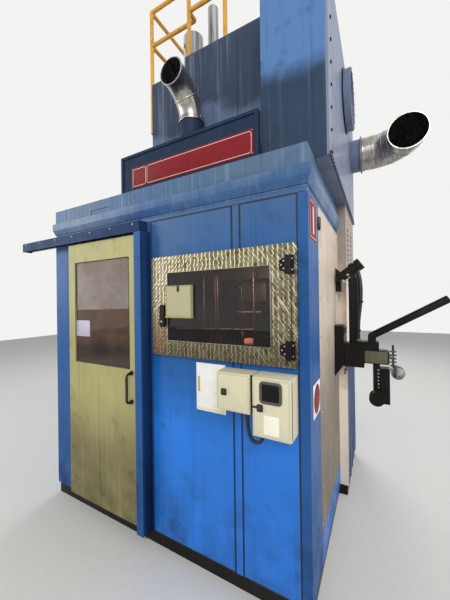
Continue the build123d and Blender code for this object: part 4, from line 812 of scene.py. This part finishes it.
def cabinet_lock(name, centre, handle):
    """Quarter-turn lock: a rounded block, a round barrel with a bright slotted end, and a handle to the left."""
    parts = [plate(centre, FRONT, 0.033, 0.037, 0.0065, 0.006, 0.002, 0.001),
             turned(centre, FRONT, (0.0105, 0.0105, 0.009), (0.005, 0.008, 0.0085))]
    if handle:
        parts.append(plate(centre - X_AXIS * (0.0165 + handle / 2) + Z_AXIS * 0.002, FRONT, handle + 0.004, 0.010,
                           0.006, 0.004, 0.002))
    made(name + "_lock", parts, "plastic", name)
    made(name + "_barrel", [ring(centre - Y_AXIS * 0.0077, FRONT, 0.006, 0.0018, 0.0006, 20)], "zinc", name)


def cabinet_details():
    """Lids with their locks, the display, bare labels, seals, and the bare sheet behind cabinet A."""
    # Cabinet A's lid stops 11 mm short on the right so that its dark seal shows where the cabinet's side lies in
    # shade: painted shade
    face = cabinet_lid("cabinet_a_door", 0.011)
    cabinet_lock("cabinet_a_door", np.array((0.257, face[1], 1.180)), 0.0)
    face = cabinet_lid("cabinet_b_door", 0.0)
    cabinet_lock("cabinet_b_door", np.array((0.477, face[1], 1.135)), 0.020)
    screen = np.array((0.5345, face[1], 1.2165))
    made("display_bezel", [gasket(screen, FRONT, 0.104, 0.098, 0.014, 0.007, 0.012)], "grey", "cabinet_b_door")
    made("display_window", [plate(screen, FRONT, 0.094, 0.088, 0.0035, 0.006, 0.001, 0.001)], "display",
         "cabinet_b_door")
    made("cabinet_b_label", [plate((0.5365, face[1], 1.055), FRONT, 0.080, 0.096, 0.0006, 0.003, 0.0002)], "label",
         "cabinet_b_door")
    # Cabinet A's seal is 12.5 mm wide, against B's 7 mm: the extra dark strip on its right is painted shade
    for name, wide in (("cabinet_a", 0.0125), ("cabinet_b", 0.007)):
        centre, width, height = middle(name + "_case", FRONT)
        made(name + "_seal", [gasket(centre, FRONT, width - 0.001, height - 0.016, wide, 0.0008, 0.004)], "rubber")
    y_panel = ends("front_panel_a")[0, 1]
    y_sheet = y_panel - 0.0006
    made("pinned_sheet", [plate((0.1035, y_panel, 1.1485), FRONT, 0.209, 0.295, 0.0006, 0.002, 0.0002)], "white")
    made("pinned_sheet_foot", [plate((0.1035, y_sheet, 1.014), FRONT, 0.194, 0.014, 0.0003, 0.001, 0.0001)], "straw")
    made("pinned_sheet_strip", [plate((0.0175, y_sheet, 1.163), FRONT, 0.015, 0.092, 0.0003, 0.001, 0.0001)], "gold")


def sign_details():
    """Bare red plate with thin border lines, a small square field and a long one, held by four screws."""
    y_field = ends("sign_board")[0, 1] + 0.008
    left, right, z = -0.715, 0.342, 2.668
    made("sign_plate", [plate(((left + right) / 2, y_field, z), FRONT, right - left, 0.162, 0.0035, 0.006)], "red")
    face = y_field - 0.0035
    made("sign_lines", [gasket(((x0 + x1) / 2, face, z), FRONT, x1 - x0, 0.134, 0.0036, 0.0005, 0.016, 6)
                        for x0, x1 in ((left + 0.014, left + 0.150), (left + 0.164, right - 0.014))], "cream_line")
    made("sign_screws", screws([(x, face, z + dz) for x in (left + 0.007, right - 0.007) for dz in (-0.073, 0.073)],
                               FRONT, 0.004), "zinc")


def side_plates():
    """Bare red plate, round-marked plate, interlock block, lower sheet and guard screws on the feeder's side."""
    x = ends("corner_post")[1, 0]
    made("side_red_plate", [plate((x, -0.9225, 2.1125), RIGHT, 0.175, 0.215, 0.0015, 0.008, 0.0005)], "red")
    made("side_red_bar", [plate((x + 0.0015, -0.9225, 2.1125), RIGHT, 0.030, 0.150, 0.0005, 0.004, 0.0002),
                          gasket((x + 0.0015, -0.9225, 2.1125), RIGHT, 0.155, 0.195, 0.004, 0.0004, 0.006)],
         "cream_line")
    made("side_round_plate", [plate((x, -0.890, 1.128), RIGHT, 0.180, 0.182, 0.0015, 0.006, 0.0005)], "white")
    made("side_round_mark", [turned((x + 0.0015, -0.890, 1.128), RIGHT, (0.080, 0.080, 0.079), (0.0, 0.0003, 0.0005),
                                    40)], "red")
    made("interlock_block", [plate((x, -0.7795, 2.136), RIGHT, 0.034, 0.064, 0.014, 0.004, 0.002),
                             turned((x + 0.007, -0.7795, 2.104), UNDER, (0.006, 0.006, 0.005), (0.0, 0.012, 0.014),
                                    12)], "plastic")
    side = ends("rear_right_wall")[1, 0]
    folds = [plate((side, y, 0.635), RIGHT, 0.018, 1.05, 0.010, 0.006, 0.004) for y in (0.20, 0.36, 0.52, 0.68)]
    made("rear_lower_sheet", [plate((side, 0.445, 0.635), RIGHT, 0.722, 1.07, 0.003, 0.003, 0.001)] + folds, "slate")
    low, high = ends("side_guard")
    rows = [between((x, low[1] + 0.03, low[2] + 0.05), (x, low[1] + 0.03, high[2] - 0.10), 9),
            between((x, high[1] - 0.03, low[2] + 0.05), (x, high[1] - 0.03, high[2] - 0.05), 9)]
    made("side_guard_screws", screws(np.concatenate(rows), RIGHT, 0.007), "zinc")


# ---------------------------------------------------------------- tower and ducts


def tower_details():
    """Bolt rows and the seal strip of the side plate, sheet seams, port bolts and the back's screw rows."""
    low, high = ends("tower_side_plate")
    x = high[0]
    made("tower_edge_bolts", bolts(between((x, -0.765, 2.54), (x, -0.765, 3.60), 9), RIGHT, 0.015), "black")
    made("tower_foot_bolts", bolts(between((x, -0.83, 2.512), (x, 0.82, 2.512), 34), RIGHT, 0.014), "black")
    made("tower_foot_seal", [plate((x, (low[1] + high[1]) / 2, low[2] + 0.0065), RIGHT, high[1] - low[1] - 0.004,
                                   0.013, 0.006, 0.003, 0.002)], "rubber")
    centre = middle("port_ring", RIGHT)[0]
    made("port_bolts", bolts(centre + 0.214 * circle(16) @ RIGHT, RIGHT, 0.010), "steel")
    made("port_foot_ring", [ring(centre - X_AXIS * 0.055, RIGHT, 0.225, 0.010, 0.014, 56)], "black")
    front, rear = ends("tower_main_wall")[:, 1]
    made("tower_sheet_seams", [plate([(-0.20, front, 3.05), (0.13, front, 3.05)], FRONT, 0.004, 1.10, 0.001, 0.001,
                                     0.0004)], "black")
    rows = np.concatenate([between((-0.74, rear, z), (0.74, rear, z), 12) for z in (2.53, 3.60)])
    made("tower_back_screws", screws(rows, BACK, 0.008), "steel")


def bend_bands(foot, axis, bend, radius, wide, heights, sides):
    """Bands round a duct's bend, each at its angle in degrees from the foot, with its height.

    The bend turns from the axis towards -Y: a band's middle is foot + bend * (outer - Y), and outer is
    Y * cos(angle) + axis * sin(angle).
    """
    bands = []
    for degrees, proud in heights:
        angle = math.radians(degrees)
        outer = math.cos(angle) * Y_AXIS + math.sin(angle) * axis
        view = (np.cross(Y_AXIS, axis), outer)
        bands.append(ring(foot + bend * (outer - Y_AXIS), view, radius, wide, proud, sides))
    return bands


def duct_details():
    """Clamp bands with their bolts, sheet seams round both bends, and rolled beads at the open ends."""
    foot = np.array((-0.21, -0.7733, 3.010))
    bands = [ring(foot + Z_AXIS * lift, TOP, 0.093, 0.009, 0.004) for lift in (0.006, 0.028)]
    bands += bend_bands(foot, Z_AXIS, 0.240, 0.088, 0.010, ((8.0, 0.003), (44.0, 0.0035), (88.8, 0.006)), 40)
    made("left_duct_bands", bands, "duct")
    made("left_clamp_bolt", bolts([foot + (0.098, -0.03, 0.017)], RIGHT, 0.014), "zinc")
    foot = np.array((0.980, 0.700, 3.160))
    bands = [ring(foot - X_AXIS * back, RIGHT, 0.155, 0.012, proud, 48)
             for back, proud in ((0.094, 0.006), (0.015, 0.005))]
    bands += bend_bands(foot, X_AXIS, 0.272, 0.155, 0.012, ((30.0, 0.004), (60.0, 0.004), (88.8, 0.007)), 48)
    made("right_duct_bands", bands, "duct")
    foot[0] = ends("right_duct_spigot")[1, 0]
    made("right_duct_bolts", bolts(foot + 0.166 * circle(12) @ RIGHT, RIGHT, 0.012), "zinc")


def rail_details():
    """Clamp collars where the rails meet the left posts, at three heights."""
    low, high = ends("guard_rails")
    collars = [ring((low[0] + RAIL_RADIUS, y, high[2] - RAIL_RADIUS - drop), TOP, RAIL_RADIUS, 0.022, 0.005, 20)
               for drop in (0.03, 0.34, 0.69) for y in (-0.565, high[1] - RAIL_RADIUS)]
    made("rail_collars", collars, "yellow")


# ---------------------------------------------------------------- feeder


def feeder_details():
    """Bolts on the wall plates, the cylinder's fittings, bent pipes with clips, the olive end block and the studs."""
    x = ends("feeder_plates")[1, 0]
    made("feeder_plate_bolts", bolts([(x, y, z) for y in (-0.145, -0.027) for z in (1.105, 1.13, 1.42, 1.445)], RIGHT,
                                     0.018), "black")
    made("end_block_cover", [plate((1.069, -0.10, 1.245), RIGHT, 0.080, 0.084, 0.004, 0.008, 0.003)], "olive")
    made("end_block_sides", [plate((0.985, y, 1.245), view, 0.150, 0.088, 0.004, 0.008, 0.003)
                             for y, view in ((-0.148, FRONT), (-0.052, BACK))], "olive")
    front = ends("feeder_frame")[0, 1]
    made("beam_bolts", bolts([(bx, front, bz) for bx in (0.80, 0.86) for bz in (1.19, 1.31)], FRONT, 0.014), "black")
    foot, feet, pipes = 1.358, [], []
    for k in range(4):
        y = -0.118 + 0.013 * (k % 2)
        feet.append((0.866 + 0.002 * k, y, foot))
        bends = [feet[-1], (0.866 + 0.002 * k, y, 1.50), (0.867 + 0.0085 * k, y, 1.66), (0.868 + 0.009 * k, y, 1.80),
                 (0.858 + 0.006 * k, y - 0.004, 1.90)]
        pipes.append(tube(round_path(bends), 0.0082, Y_AXIS, circle(12)))
    made("feeder_pipes", pipes, "plastic")
    made("pipe_clips", [plate((cx, -0.128, cz), FRONT, wide, 0.014, 0.005, 0.004, 0.002)
                        for cx, cz, wide in ((0.869, 1.44, 0.036), (0.880, 1.66, 0.052))], "black")
    made("pipe_fittings", [turned(feet, TOP, (0.0105, 0.0105, 0.0095), (0.0, 0.012, 0.014), 6)], "steel")
    made("cylinder_fittings", [turned([(0.800, -0.140, 1.868), (0.765, -0.132, 1.822)], FRONT,
                                      (0.012, 0.012, 0.009, 0.009, 0.007), (-0.02, 0.004, 0.006, 0.012, 0.014), 6)],
         "chrome")
    made("post_studs", bolts([(0.999, -0.14, z) for z in np.arange(1.02, 1.17, 0.026)], FRONT, 0.009), "steel")


# ---------------------------------------------------------------- inside the press and behind


def inside_details():
    """What shows through the hatch: a hot workpiece on the die, guide rods, cross pipes, a gauge and die clamps."""
    made("hot_workpiece", [turned((-0.100, 0.0, 1.270), TOP, (0.048, 0.054, 0.055, 0.052, 0.040),
                                  (0.0, 0.005, 0.018, 0.032, 0.038), 28)], "hot")
    y, foot = -0.43, 1.060
    made("guide_rods", [turned((rx, y, foot), TOP, (0.008, 0.009, 0.009, 0.008), (0.0, 0.004, high, high + 0.004), 14)
                        for rx, high in ((-0.345, 0.84), (-0.228, 0.84), (-0.205, 0.84), (0.132, 0.84),
                                         (0.36, 0.60))], "zinc")
    # The cross pipes take the pale cream enamel so that they show as bright lines: a painted highlight
    made("cross_pipes", [tube([(x0, y, z0), (x1, y, z1)], radius, Y_AXIS, circle(10))
                         for x0, z0, x1, z1, radius in ((-0.66, 1.425, -0.345, 1.434, 0.008),
                                                        (-0.345, 1.434, 0.132, 1.447, 0.006),
                                                        (-0.011, 1.587, 0.191, 1.587, 0.005))], "rear")
    made("gauge_post", [plate((0.205, -0.425, 1.215), FRONT, 0.030, 0.310, 0.010, 0.004, 0.002, 0.010),
                        plate((0.205, -0.435, 1.370), FRONT, 0.116, 0.070, 0.012, 0.006, 0.002, 0.010)], "steel")
    made("die_clamps", [plate([(dx, -0.20, foot), (dx, 0.20, foot)], TOP, 0.06, 0.10, 0.05, 0.006, 0.004)
                        for dx in (-0.06, 0.06)], "iron")
    made("die_clamp_bolts", bolts([(dx, dy, 1.110) for dx in (-0.06, 0.06) for dy in (-0.20, 0.20)], TOP, 0.030),
         "steel")


def back_details():
    """Screw rows and sheet seams on the door's end and behind, and pressed hoods over the louvre slots."""
    x = ends("left_wall")[0, 0]
    rows = [between((x, y, 0.16), (x, y, 2.17), 8) for y in (-0.93, 0.04)]
    rows.append(between((x, -0.93, 1.16), (x, 0.04, 1.16), 5))
    made("left_wall_screws", screws(np.concatenate(rows), LEFT, 0.007), "zinc")
    made("left_wall_seams", [plate((x, -0.445, 1.16), LEFT, 0.005, 2.04, 0.001, 0.001, 0.0004)], "rubber")
    y = ends("rear_housing")[1, 1]
    rows = [between((x, y, 0.18), (x, y, 2.40), 9) for x in (-0.72, -0.02, 0.04, 0.72)]
    made("rear_screws", screws(np.concatenate(rows), BACK, 0.008), "zinc")
    made("rear_seams", [plate((0.01, y, 1.29), BACK, 0.006, 2.36, 0.001, 0.001, 0.0004),
                        plate((-0.0025, y, 1.29), BACK, 1.50, 0.006, 0.001, 0.001, 0.0004)], "rubber")
    side = ends("rear_right_wall")[1, 0]
    hoods = [(side, column, 2.060 + (k - 5.5) * 0.045) for column in (0.250, 0.580) for k in range(12)]
    made("louvre_hoods", [plate(hoods, RIGHT, 0.066, 0.012, 0.007, 0.004, 0.004)], "rear")


make_camera()
cabinet_cable()
make_lamps()
make_stage()
dress_cad_nodes()
front_seams()
hatch_details()
door_details()
cabinet_details()
sign_details()
side_plates()
tower_details()
duct_details()
rail_details()
feeder_details()
inside_details()
work_lamp()
back_details()
